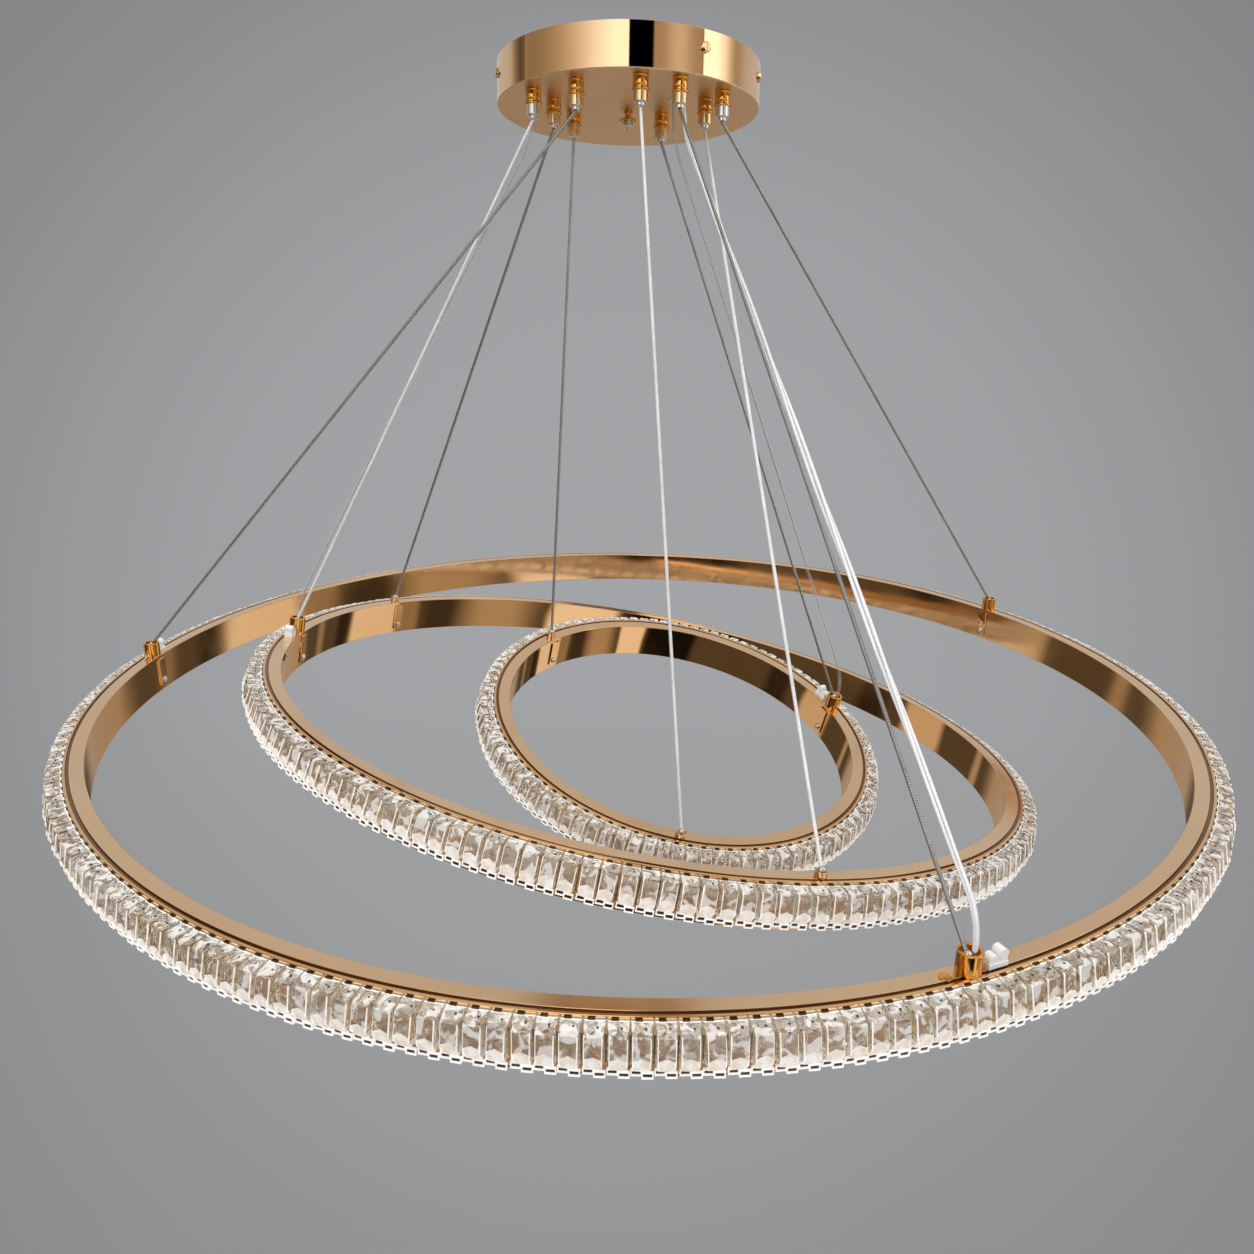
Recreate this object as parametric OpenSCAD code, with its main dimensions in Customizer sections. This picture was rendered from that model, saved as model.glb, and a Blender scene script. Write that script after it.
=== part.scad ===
// Ceiling chandelier with three crystal rings hung on steel wires from a round canopy.
// Millimetres, Z up. The origin is the middle of the ceiling plane, everything hangs below it.

/* [Canopy] */
// outside diameter of the canopy drum
canopy_d = 208; // [180:2:320]
// height of the canopy drum below the ceiling
canopy_h = 31; // [26:1:60]
// sheet thickness of the canopy
canopy_t = 1.2; // [0.8:0.1:2]
// thickness of the ceiling plate
plate_t = 2; // [1.5:0.5:4]
// ceiling screw spacing across
mount_x = 120; // [80:5:140]
// ceiling screw spacing front to back
mount_y = 60; // [40:5:80]
// ceiling screw hole
mount_hole_d = 5.5; // [4:0.5:7]
// hole for the supply cable in the ceiling plate
cable_hole_d = 50; // [30:1:60]

/* [Wire glands] */
// barrel above the gland's collar
gland_d = 11.2; // [9:0.1:14]
// length of that barrel
gland_l = 9; // [6:0.5:14]
// collar of the gland
collar_d = 13; // [11:0.5:16]
// nozzle under the collar
nozzle_d = 10.3; // [8:0.1:12]
// length of the nozzle
nozzle_l = 7.5; // [7:0.5:12]
// release plunger
plunger_d = 6.6; // [5.5:0.1:7]
// how far the plunger stands out
plunger_out = 2.6; // [2.2:0.1:4]
// threaded stem through the canopy
stem_d = 8; // [7:0.5:10]

/* [Wires and leads] */
// steel suspension wire
wire_d = 2.4; // [1.2:0.1:2.5]
// ball swaged on the end of a wire
ball_d = 5; // [4:0.1:6]
// clear power lead
lead_d = 3.2; // [2.5:0.1:5]

/* [Large ring] */
// diameter over the crystals
large_d = 900; // [700:10:1200]
// centre of the ring, left to right
large_x = 16; // [-60:1:60]
// centre of the ring, front to back
large_y = -35; // [-80:1:60]
// height of the ring's centre
large_z = -486; // [-1500:1:-420]
// lean towards the front
large_lean_x = 6; // [0:0.5:12]
// lean towards the right
large_lean_y = 0; // [-8:0.5:8]
// crystals round the ring
large_crystals = 258; // [200:1:360]

/* [Middle ring] */
// diameter over the crystals
medium_d = 650; // [500:10:800]
// centre of the ring, left to right
medium_x = 24; // [-60:1:60]
// centre of the ring, front to back
medium_y = -41; // [-80:1:60]
// height of the ring's centre
medium_z = -504; // [-1500:1:-420]
// lean towards the front
medium_lean_x = 2; // [0:0.5:12]
// lean towards the right
medium_lean_y = 9.5; // [0:0.5:14]
// crystals round the ring
medium_crystals = 178; // [140:1:260]

/* [Small ring] */
// diameter over the crystals
small_d = 350; // [260:10:460]
// centre of the ring, left to right
small_x = 55; // [-60:1:80]
// centre of the ring, front to back
small_y = -49; // [-80:1:60]
// height of the ring's centre
small_z = -520; // [-1500:1:-420]
// lean towards the front
small_lean_x = 17; // [0:0.5:20]
// lean towards the right
small_lean_y = 11; // [0:0.5:14]
// crystals round the ring
small_crystals = 102; // [70:1:150]

/* [Ring section] */
// width of the top face
top_w = 13.2; // [11:0.1:20]
// height of the inner wall
wall_h = 31; // [28:0.5:50]
// sheet thickness of the wall
wall_t = 1.5; // [1:0.1:2.5]
// sheet thickness of the top face
top_t = 1.6; // [1.2:0.1:3]
// how far the crystals stand out past the top face
crystal_out = 13.7; // [8:0.1:20]
// height of a crystal
crystal_h = 23; // [16:0.5:40]
// gap between neighbouring crystals
crystal_gap = 0.8; // [0.4:0.1:2]

/* [Hanger posts] */
// diameter of a post on a ring
post_d = 13; // [11:0.1:13.2]
// height of a post
post_h = 12; // [8:0.5:20]

/* [Fits] */
// clearance round a sliding plunger
slide_fit = 0.08; // [0.02:0.01:0.1]
// clearance round a screw or stem in its hole
hole_fit = 0.15; // [0.1:0.05:0.4]
// clearance between pieces that only lie side by side
lay_fit = 0.1; // [0.05:0.05:0.3]

/* [Hidden] */
$fa = 6;
$fs = 0.6;

canopy_r = canopy_d / 2;
inside_r = canopy_r - canopy_t;
under_z = -canopy_h;
deck_z = under_z + canopy_t;

collar_l = 1.5;
collar_z = under_z - gland_l;
nozzle_z = collar_z - collar_l;
nozzle_end_z = nozzle_z - nozzle_l;
mouth_z = nozzle_end_z - plunger_out;
flange_d = plunger_d + 1.4;
flange_l = 1.5;
nozzle_floor = 1.5;
chamber_l = nozzle_l + collar_l + 2.2;
stem_top_z = deck_z + 7;
nut_h = 4;
nut_across = 13;

wire_r = wire_d / 2;
ball_r = ball_d / 2;
lead_r = lead_d / 2;
end_gap = 0.02;

// The nine glands as shares of the canopy's radius, numbered as seen from below left to right.
gland_share = [
    [-0.683, -0.500],
    [-0.553, -0.269],
    [-0.361, -0.731],
    [-0.418, 0.024],
    [0.091, -0.856],
    [0.260, 0.063],
    [0.365, -0.817],
    [0.572, -0.332],
    [0.683, -0.524]
];
function gland_xy(i) = gland_share[i] * canopy_r;

// Grommets where the three power leads leave the canopy.
grommet_share = [
    [0.394, -0.678],
    [-0.688, -0.361],
    [0.337, -0.317]
];
function grommet_xy(i) = grommet_share[i] * canopy_r;
grommet_d = 8;
grommet_neck_d = 6;

side_screw_angles = [-165, -58, -15, 90];
side_screw_z = -12;
side_screw_d = 4;
side_head_d = 7.5;
side_head_h = 2.2;

driver_w = 108;
driver_d = 42;
driver_h = 20;
driver_y = canopy_r * 0.5;
driver_hole_z = 9;
outlet_gap = 12;
terminal_w = 32;
terminal_d = 14;
terminal_base_h = 9;
terminal_h = 13;
terminal_step = 10;
terminal_x = -20;
terminal_y = -30;
wiring_rise = 22;
wiring_reach = 46;

// Ring data in one table: centre, leans, outside radius and crystal count.
ring_centre = [
    [large_x, large_y, large_z],
    [medium_x, medium_y, medium_z],
    [small_x, small_y, small_z]
];
ring_lean = [
    [large_lean_x, large_lean_y],
    [medium_lean_x, medium_lean_y],
    [small_lean_x, small_lean_y]
];
ring_out = [large_d / 2, medium_d / 2, small_d / 2];
ring_count = [large_crystals, medium_crystals, small_crystals];

// Where each wire meets its ring, and which gland it comes from.
post_angles = [
    [176.7, 29.6, -68.6],
    [178.8, 147.5, -70.8],
    [144.9, 25.9, -89.8]
];
plug_angles = [-66.5, 182, 31.9];

function top_r(k) = ring_out[k] - crystal_out;
function wall_r(k) = top_r(k) - top_w;
function post_r(k) = top_r(k) - top_w / 2;

crystal_back = 1.5;
crystal_top = -top_t - 0.4;
crystal_bottom = crystal_top - crystal_h;
shelf_t = 1.4;
shelf_out = 7;
diffuser_t = 1.6;
diffuser_back = crystal_back + 0.2 + diffuser_t;
strip_t = 0.8;
strip_h = 10;
strip_z = -9;
strap_w = 10;
strap_h = 24;
strap_t = 1.2;
strap_screw_z = -22.5;
strap_screw_d = 3;
foot_d = 4;
rivet_d = 6;
rivet_h = 1;
cup_depth = 5;
cup_r = 4.6;
seat_d = 8;
seat_h = 4;
seat_depth = 2.2;
seat_r = 3;
ball_aside = 1.7;
lead_aside = 2.6;
plug_w = 12;
plug_d = 6.5;
plug_base_h = 2.5;
plug_low_d = 7;
plug_high_w = 5;
plug_high_h = 9.5;

// Which wires end in a tall post. The others end in a low seat on the top face.
tall_post = [
    [true, true, true],
    [true, false, false],
    [false, true, false]
];

// The post of each ring that takes the power lead beside its wire, and the side the lead is on.
lead_post = [2, 0, 1];
lead_side = [1, -1, -1];

// Points and directions.
function turn_x(p, a) = [p[0], p[1] * cos(a) - p[2] * sin(a), p[1] * sin(a) + p[2] * cos(a)];
function turn_y(p, b) = [p[0] * cos(b) + p[2] * sin(b), p[1], -p[0] * sin(b) + p[2] * cos(b)];
function on_ring(k, p) = ring_centre[k] + turn_y(turn_x(p, ring_lean[k][0]), ring_lean[k][1]);
function round_ring(k, r, a, z) = on_ring(k, [r * cos(a), r * sin(a), z]);
function unit(v) = v / norm(v);

// A point in a post's cup: aside is along the ring, and z is up from the ring's top face.
function in_post(k, a, aside, z) =
    on_ring(k, [post_r(k) * cos(a) - aside * sin(a), post_r(k) * sin(a) + aside * cos(a), z]);
function takes_lead(k, j) = j == lead_post[k];
function ball_shift(k, j) = takes_lead(k, j) ? -lead_side[k] * ball_aside : 0;
function cup_floor(k, j) = tall_post[k][j] ? post_h - cup_depth : seat_h - seat_depth;
function ball_at(k, j) = in_post(k, post_angles[k][j], ball_shift(k, j), cup_floor(k, j) + ball_r);

// The route of each power lead, from its grommet to the post on its ring.
route_large = [
    [40.98, -70.51, -26.8], [40.98, -70.51, -31.2], [40.98, -70.51, -35.5], [41.34, -71.5, -47.15],
    [42.42, -74.45, -58.41], [44.19, -79.24, -68.93], [46.58, -85.74, -78.36], [66.61, -140.11, -143.94],
    [87.9, -197.89, -213.61], [109.18, -255.66, -283.29], [130.46, -313.44, -352.96], [151.74, -371.21, -422.64],
    [171.77, -425.59, -488.22], [173.23, -429.43, -493.96], [174.31, -432.07, -500.42], [174.98, -433.39, -507.32],
    [175.21, -433.34, -514.37], [175.21, -433.05, -517.16], [175.21, -432.67, -520.74]
];
route_medium = [
    [-71.55, -37.54, -26.8], [-71.55, -37.54, -31.2], [-71.55, -37.54, -35.5], [-72.24, -37.53, -46.49],
    [-74.28, -37.48, -57.3], [-77.66, -37.41, -67.78], [-82.31, -37.3, -77.76], [-111.46, -36.64, -131.27],
    [-142.43, -35.94, -188.14], [-173.4, -35.24, -245], [-204.37, -34.54, -301.86], [-235.34, -33.84, -358.72],
    [-264.49, -33.18, -412.24], [-267.77, -33.08, -418.9], [-270.48, -32.93, -425.81], [-272.61, -32.73, -432.93],
    [-274.14, -32.49, -440.19], [-274.6, -32.4, -442.95], [-275.19, -32.27, -446.5]
];
route_small = [
    [35.05, -32.97, -26.8], [35.05, -32.97, -31.2], [35.05, -32.97, -35.69], [35.54, -32.86, -46.7],
    [37.02, -32.52, -57.62], [39.47, -31.96, -68.36], [42.87, -31.18, -78.82], [67.41, -25.57, -144.19],
    [93.5, -19.61, -213.64], [119.58, -13.65, -283.1], [145.66, -7.69, -352.55], [171.74, -1.74, -422],
    [196.29, 3.87, -487.37], [198.38, 4.67, -494.3], [199.5, 5.89, -501.39], [199.65, 7.5, -508.49],
    [198.81, 9.46, -515.45], [198.3, 10.28, -518.08], [197.64, 11.33, -521.46]
];
routes = [route_large, route_medium, route_small];

function lead_top(i) = [grommet_xy(i)[0], grommet_xy(i)[1], deck_z + 3];
function route_dirs(p) = [
    for (j = [0:len(p) - 1])
        unit(p[min(j + 1, len(p) - 1)] - p[max(j - 1, 0)])
];

// Smooth curve with a given start and end direction.
function curve(a, b, c, d, t) =
    pow(1 - t, 3) * a + 3 * pow(1 - t, 2) * t * b + 3 * (1 - t) * pow(t, 2) * c + pow(t, 3) * d;
function curve_dir(a, b, c, d, t) =
    unit(3 * pow(1 - t, 2) * (b - a) + 6 * (1 - t) * t * (c - b) + 3 * pow(t, 2) * (d - c));

module rod(p0, p1, d) {
    v = p1 - p0;
    translate(p0)
        rotate([0, acos(v[2] / norm(v)), atan2(v[1], v[0])])
            cylinder(d = d, h = norm(v), $fn = 24);
}

module tube_along(pts, dirs, side, r, n) {
    m = len(pts);
    rows = [
        for (j = [0:m - 1])
            let (b = unit(cross(dirs[j], side)))
            let (s = unit(cross(b, dirs[j])))
            for (k = [0:n - 1])
                pts[j] + r * (cos(360 * k / n) * s + sin(360 * k / n) * b)
    ];
    sides = [
        for (j = [0:m - 2])
            for (k = [0:n - 1])
                for (h = [0, 1])
                    let (a = j * n + k, b = j * n + (k + 1) % n)
                    h == 0 ? [a, a + n, b + n] : [a, b + n, b]
    ];
    cap0 = [for (k = [0:n - 1]) k];
    cap1 = [for (k = [0:n - 1]) (m - 1) * n + n - 1 - k];
    polyhedron(points = rows, faces = concat(sides, [cap0], [cap1]));
}

module smooth_lead(a, b, c, d, r, steps, n) {
    flat = [d[0] - a[0], d[1] - a[1], 0];
    side = unit(cross([0, 0, 1], flat));
    pts = [for (i = [0:steps]) curve(a, b, c, d, i / steps)];
    dirs = [for (i = [0:steps]) curve_dir(a, b, c, d, i / steps)];
    tube_along(pts, dirs, side, r, n);
}

module hex_nut(across, h, hole) {
    difference() {
        cylinder(d = across / cos(30), h = h, $fn = 6);
        translate([0, 0, -1])
            cylinder(d = hole, h = h + 2, $fn = 32);
    }
}

// Canopy and what is inside it.
module ceiling_bracket() {
    tab_w = 14;
    tab_r = inside_r - lay_fit;
    tab_t = 2;
    color("silver")
    difference() {
        union() {
            translate([0, 0, -plate_t])
                cylinder(r = canopy_r - 9, h = plate_t, $fn = 120);
            for (a = side_screw_angles)
                rotate([0, 0, a]) {
                    intersection() {
                        translate([canopy_r - 16, -tab_w / 2, -plate_t])
                            cube([16, tab_w, plate_t]);
                        translate([0, 0, -plate_t - 1])
                            cylinder(r = tab_r, h = plate_t + 2, $fn = 120);
                    }
                    intersection() {
                        translate([tab_r - tab_t - 0.6, -tab_w / 2, side_screw_z - 6])
                            cube([tab_t + 2, tab_w, -side_screw_z + 6]);
                        translate([0, 0, side_screw_z - 7])
                            cylinder(r = tab_r, h = 30, $fn = 120);
                    }
                }
        }
        translate([0, 0, -plate_t - 1])
            cylinder(d = cable_hole_d, h = plate_t + 2, $fn = 64);
        for (x = [-1, 1])
            for (y = [-1, 1])
                translate([x * mount_x / 2, y * mount_y / 2, -plate_t - 1])
                    cylinder(d = mount_hole_d, h = plate_t + 2, $fn = 32);
        for (a = side_screw_angles)
            rotate([0, 0, a])
                translate([canopy_r - 20, 0, side_screw_z])
                    rotate([0, 90, 0])
                        cylinder(d = side_screw_d + hole_fit, h = 30, $fn = 24);
    }
}

module canopy_shell() {
    bead = 1.2;
    color("goldenrod")
    difference() {
        rotate_extrude($fn = 180)
            union() {
                polygon([
                    [inside_r, 0], [canopy_r, 0], [canopy_r, under_z + bead],
                    [canopy_r - bead * 0.3, under_z + bead * 0.3], [canopy_r - bead, under_z],
                    [0, under_z], [0, deck_z], [inside_r, deck_z]
                ]);
            }
        for (i = [0:8])
            translate([gland_xy(i)[0], gland_xy(i)[1], under_z - 1])
                cylinder(d = stem_d + 2 * hole_fit, h = 4, $fn = 40);
        for (i = [0:2])
            translate([grommet_xy(i)[0], grommet_xy(i)[1], under_z - 1])
                cylinder(d = grommet_neck_d + 2 * hole_fit, h = 4, $fn = 32);
        translate([0, 0, under_z - 1])
            cylinder(d = 5 + 2 * hole_fit, h = 4, $fn = 32);
        for (a = side_screw_angles)
            rotate([0, 0, a])
                translate([canopy_r - 8, 0, side_screw_z])
                    rotate([0, 90, 0])
                        cylinder(d = side_screw_d + 2 * hole_fit, h = 16, $fn = 24);
    }
}

module canopy_side_screws() {
    color("gold")
    for (a = side_screw_angles)
        rotate([0, 0, a])
            translate([canopy_r, 0, side_screw_z])
                rotate([0, 90, 0]) {
                    difference() {
                        union() {
                            cylinder(d = side_head_d, h = side_head_h * 0.6, $fn = 32);
                            translate([0, 0, side_head_h * 0.6])
                                cylinder(d1 = side_head_d, d2 = side_head_d - 2, h = side_head_h * 0.4, $fn = 32);
                        }
                        translate([-side_head_d, -0.5, side_head_h - 0.8])
                            cube([2 * side_head_d, 1, 2]);
                    }
                    translate([0, 0, -6])
                        cylinder(d = side_screw_d, h = 6.01, $fn = 24);
                }
}

module finial() {
    color("gold")
    rotate_extrude($fn = 64)
        polygon([
            [0, under_z - 14.5], [0.5, under_z - 14.1], [1.5, under_z - 11.6], [2.4, under_z - 10.8],
            [3.9, under_z - 10.6], [4.3, under_z - 10], [4.3, under_z - 7.6], [6.2, under_z - 7.3],
            [6.6, under_z - 6.8], [6.6, under_z - 6.2], [5.6, under_z - 5.4], [2.6, under_z - 5],
            [2.3, under_z - 3.6], [2.6, under_z - 1.2], [3.6, under_z - 0.8], [3.6, under_z],
            [2.5, under_z], [2.5, deck_z + 6], [0, deck_z + 6]
        ]);
}

module finial_nut() {
    color("silver")
    translate([0, 0, deck_z])
        hex_nut(8, 4, 5 + hole_fit);
}

module led_driver() {
    step = 1.5;
    hole_l = 4;
    color("white")
    translate([0, driver_y, deck_z])
        difference() {
            union() {
                translate([-driver_w / 2, -driver_d / 2, 0])
                    cube([driver_w, driver_d, driver_h - 2 * step]);
                translate([-driver_w / 2 + step, -driver_d / 2 + step, 0])
                    cube([driver_w - 2 * step, driver_d - 2 * step, driver_h]);
            }
            for (x = [-1, 0, 1])
                translate([x * outlet_gap, -driver_d / 2 - 1, driver_hole_z])
                    rotate([-90, 0, 0])
                        cylinder(d = lead_d + 1.6, h = hole_l + 1, $fn = 24);
        }
}

module terminal_block() {
    cell_w = 8;
    cell_d = 9;
    screw_hole_d = 4;
    wire_hole_d = 3;
    color("ivory")
    translate([terminal_x, terminal_y, deck_z])
        difference() {
            union() {
                translate([-terminal_w / 2, -terminal_d / 2, 0])
                    cube([terminal_w, terminal_d, terminal_base_h]);
                for (x = [-1, 0, 1])
                    translate([x * terminal_step, 0, 0])
                        translate([-cell_w / 2, -cell_d / 2, 0])
                            cube([cell_w, cell_d, terminal_h]);
            }
            for (x = [-1, 0, 1])
                translate([x * terminal_step, 0, terminal_base_h])
                    cylinder(d = screw_hole_d, h = terminal_h, $fn = 24);
            for (x = [-1, 0, 1])
                translate([x * terminal_step, -terminal_d / 2 - 1, terminal_base_h / 2])
                    rotate([-90, 0, 0])
                        cylinder(d = wire_hole_d, h = terminal_d + 2, $fn = 24);
        }
}

module gland_bodies() {
    color("gold")
    for (i = [0:8])
        translate([gland_xy(i)[0], gland_xy(i)[1], 0])
            rotate_extrude($fn = 48)
                polygon([
                    [wire_r + 0.05, stem_top_z],
                    [stem_d / 2, stem_top_z],
                    [stem_d / 2, under_z],
                    [gland_d / 2, under_z],
                    [gland_d / 2, collar_z],
                    [collar_d / 2, collar_z - 0.3],
                    [collar_d / 2, nozzle_z + 0.3],
                    [nozzle_d / 2, nozzle_z],
                    [nozzle_d / 2, nozzle_end_z + 0.6],
                    [nozzle_d / 2 - 0.6, nozzle_end_z],
                    [plunger_d / 2 + slide_fit, nozzle_end_z],
                    [plunger_d / 2 + slide_fit, nozzle_end_z + nozzle_floor],
                    [flange_d / 2 + slide_fit, nozzle_end_z + nozzle_floor],
                    [flange_d / 2 + slide_fit, nozzle_end_z + chamber_l],
                    [wire_r + 0.05, nozzle_end_z + chamber_l]
                ]);
}

module gland_nuts() {
    color("silver")
    for (i = [0:8])
        translate([gland_xy(i)[0], gland_xy(i)[1], deck_z])
            hex_nut(nut_across, nut_h, stem_d + hole_fit);
}

module lead_grommets() {
    color("white")
    for (i = [0:2])
        translate([grommet_xy(i)[0], grommet_xy(i)[1], 0])
            rotate_extrude($fn = 40)
                polygon([
                    [lead_r + slide_fit, under_z - 2],
                    [grommet_d / 2 - 0.6, under_z - 2],
                    [grommet_d / 2, under_z - 1.4],
                    [grommet_d / 2, under_z],
                    [grommet_neck_d / 2, under_z],
                    [grommet_neck_d / 2, deck_z],
                    [grommet_d / 2, deck_z],
                    [grommet_d / 2, deck_z + 1.2],
                    [lead_r + slide_fit, deck_z + 1.2]
                ]);
}

module inner_wiring() {
    color("white")
    for (i = [0:2])
        let (a = lead_top(i) + [0, 0, end_gap])
        let (x = (i == 1 ? -1 : i == 2 ? 1 : 0) * outlet_gap)
        let (d = [x, driver_y - driver_d / 2 + 3.6, deck_z + driver_hole_z])
        smooth_lead(a, a + [0, 0, wiring_rise], d + [0, -wiring_reach, 9], d, lead_r, 24, 8);
}

module plunger(i) {
    color("silver")
    translate([gland_xy(i)[0], gland_xy(i)[1], 0])
        rotate_extrude($fn = 48)
            polygon([
                [wire_r + 0.6, mouth_z],
                [plunger_d / 2 - 0.5, mouth_z],
                [plunger_d / 2, mouth_z + 0.5],
                [plunger_d / 2, nozzle_end_z + nozzle_floor],
                [flange_d / 2, nozzle_end_z + nozzle_floor],
                [flange_d / 2, nozzle_end_z + nozzle_floor + flange_l],
                [plunger_d / 2 - 0.6, nozzle_end_z + nozzle_floor + flange_l],
                [plunger_d / 2 - 0.6, nozzle_end_z + nozzle_floor + flange_l + 3],
                [wire_r + 0.6, nozzle_end_z + nozzle_floor + flange_l + 3]
            ]);
}

module plunger_1() { plunger(0); }
module plunger_2() { plunger(1); }
module plunger_3() { plunger(2); }
module plunger_4() { plunger(3); }
module plunger_5() { plunger(4); }
module plunger_6() { plunger(5); }
module plunger_7() { plunger(6); }
module plunger_8() { plunger(7); }
module plunger_9() { plunger(8); }

// A steel wire from gland i to post j of ring k.
module hang_wire(i, k, j) {
    p0 = [gland_xy(i)[0], gland_xy(i)[1], mouth_z];
    pb = ball_at(k, j);
    p1 = pb + unit(p0 - pb) * (ball_r + end_gap);
    color("silver")
    union() {
        rod(p1, p0, wire_d);
        translate(p0)
            sphere(d = wire_d + 0.1, $fn = 24);
        translate(p0)
            cylinder(d = wire_d, h = stem_top_z + 4 - mouth_z, $fn = 24);
    }
}

module wire_large_left() { hang_wire(2, 0, 0); }
module wire_large_right() { hang_wire(8, 0, 1); }
module wire_large_front() { hang_wire(6, 0, 2); }
module wire_medium_left() { hang_wire(0, 1, 0); }
module wire_medium_back() { hang_wire(1, 1, 1); }
module wire_medium_front() { hang_wire(7, 1, 2); }
module wire_small_left() { hang_wire(3, 2, 0); }
module wire_small_right() { hang_wire(5, 2, 1); }
module wire_small_front() { hang_wire(4, 2, 2); }

// A clear power lead from its grommet into the post on its ring.
module power_lead(i) {
    p = routes[i];
    last = p[len(p) - 1];
    side = unit(cross([0, 0, 1], [last[0] - p[0][0], last[1] - p[0][1], 0]));
    color("white")
    tube_along(p, route_dirs(p), side, lead_r, 8);
}

module lead_large() { power_lead(0); }
module lead_medium() { power_lead(1); }
module lead_small() { power_lead(2); }

// One ring. Its own origin is the centre of its top face.
module ring_place(k) {
    translate(ring_centre[k])
        rotate([ring_lean[k][0], ring_lean[k][1], 0])
            children();
}

module ring_frame(k) {
    ro = top_r(k);
    ri = wall_r(k);
    shelf_z = crystal_bottom;
    color("goldenrod")
    ring_place(k)
    difference() {
        rotate_extrude($fn = 180)
            polygon([
                [ri, 0],
                [ro - 3.4, 0],
                [ro - 3.2, -0.7],
                [ro - 2.4, -0.7],
                [ro - 2.2, -0.1],
                [ro, -0.1],
                [ro, -top_t],
                [ri + wall_t, -top_t],
                [ri + wall_t, shelf_z],
                [ro + shelf_out, shelf_z],
                [ro + shelf_out, shelf_z - shelf_t],
                [ri + wall_t, shelf_z - shelf_t],
                [ri + wall_t, -wall_h],
                [ri, -wall_h]
            ]);
        for (a = post_angles[k])
            rotate([0, 0, a]) {
                translate([post_r(k), 0, -top_t - 1])
                    cylinder(d = foot_d + 2 * hole_fit, h = top_t + 2, $fn = 24);
                translate([ri - 2, 0, strap_screw_z])
                    rotate([0, 90, 0])
                        cylinder(d = strap_screw_d + 2 * hole_fit, h = 6, $fn = 24);
            }
    }
}

module ring_strip(k) {
    ri = wall_r(k) + wall_t;
    color("white")
    ring_place(k)
    rotate_extrude($fn = 180)
        polygon([
            [ri, strip_z], [ri + strip_t, strip_z],
            [ri + strip_t, strip_z - strip_h], [ri, strip_z - strip_h]
        ]);
}

module ring_diffuser(k) {
    ro = top_r(k) - diffuser_back;
    color("white")
    ring_place(k)
    rotate_extrude($fn = 180)
        polygon([
            [ro, -top_t - lay_fit], [ro + diffuser_t, -top_t - lay_fit],
            [ro + diffuser_t, crystal_bottom], [ro, crystal_bottom]
        ]);
}

module ring_crystals(k) {
    ro = top_r(k);
    n = ring_count[k];
    w = 2 * (ro - crystal_back) * tan(180 / n) - crystal_gap;
    color("aliceblue")
    ring_place(k)
    for (i = [0:n - 1])
        rotate([0, 0, (i + 0.5) * 360 / n])
            translate([ro, w / 2, 0])
                rotate([90, 0, 0])
                    linear_extrude(height = w)
                        polygon([
                            [-crystal_back, crystal_top],
                            [3.5, crystal_top],
                            [crystal_out - 5.2, crystal_top - 2.5],
                            [crystal_out, crystal_top - 10.5],
                            [crystal_out, crystal_bottom + 5.5],
                            [crystal_out - 5.2, crystal_bottom],
                            [-crystal_back, crystal_bottom]
                        ]);
}

// A turned post or seat with a cup for the wire's ball, riveted through the top face.
module cupped(d, h, depth, r, ease) {
    rotate_extrude($fn = 48)
        polygon([
            [0, h - depth],
            [r, h - depth],
            [r, h - 0.3],
            [r + 0.3, h],
            [d / 2 - ease, h],
            [d / 2, h - ease],
            [d / 2, 0],
            [foot_d / 2, 0],
            [foot_d / 2, -top_t],
            [rivet_d / 2, -top_t],
            [rivet_d / 2 - 0.6, -top_t - rivet_h],
            [0, -top_t - rivet_h]
        ]);
}

module ring_posts(k) {
    color("orange")
    ring_place(k)
    for (j = [0:2])
        rotate([0, 0, post_angles[k][j]])
            translate([post_r(k), 0, 0])
                if (tall_post[k][j])
                    cupped(post_d, post_h, cup_depth, cup_r, 0.6);
                else
                    cupped(seat_d, seat_h, seat_depth, seat_r, 0.4);
}

module ring_ferrules(k) {
    color("silver")
    for (j = [0:2])
        translate(ball_at(k, j))
            sphere(d = ball_d, $fn = 32);
}

module ring_straps(k) {
    ri = wall_r(k);
    dip = ri - sqrt(ri * ri - strap_w * strap_w / 4) + 0.02;
    color("gold")
    ring_place(k)
    for (a = post_angles[k])
        rotate([0, 0, a])
            difference() {
                translate([ri - dip - strap_t, -strap_w / 2, -3 - strap_h])
                    cube([strap_t, strap_w, strap_h]);
                translate([ri - 5, 0, strap_screw_z])
                    rotate([0, 90, 0])
                        cylinder(d = strap_screw_d + 2 * hole_fit, h = 8, $fn = 24);
            }
}

module ring_strap_screws(k) {
    ri = wall_r(k);
    dip = ri - sqrt(ri * ri - strap_w * strap_w / 4) + 0.02;
    color("silver")
    ring_place(k)
    for (a = post_angles[k])
        rotate([0, 0, a])
            translate([ri - dip - strap_t, 0, strap_screw_z])
                rotate([0, 90, 0]) {
                    translate([0, 0, -2])
                        difference() {
                            cylinder(d1 = 4, d2 = 5.6, h = 2, $fn = 32);
                            translate([-4, -0.4, -1])
                                cube([8, 0.8, 1.7]);
                        }
                    translate([0, 0, -0.01])
                        cylinder(d = strap_screw_d, h = 6.5, $fn = 24);
                }
}

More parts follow.
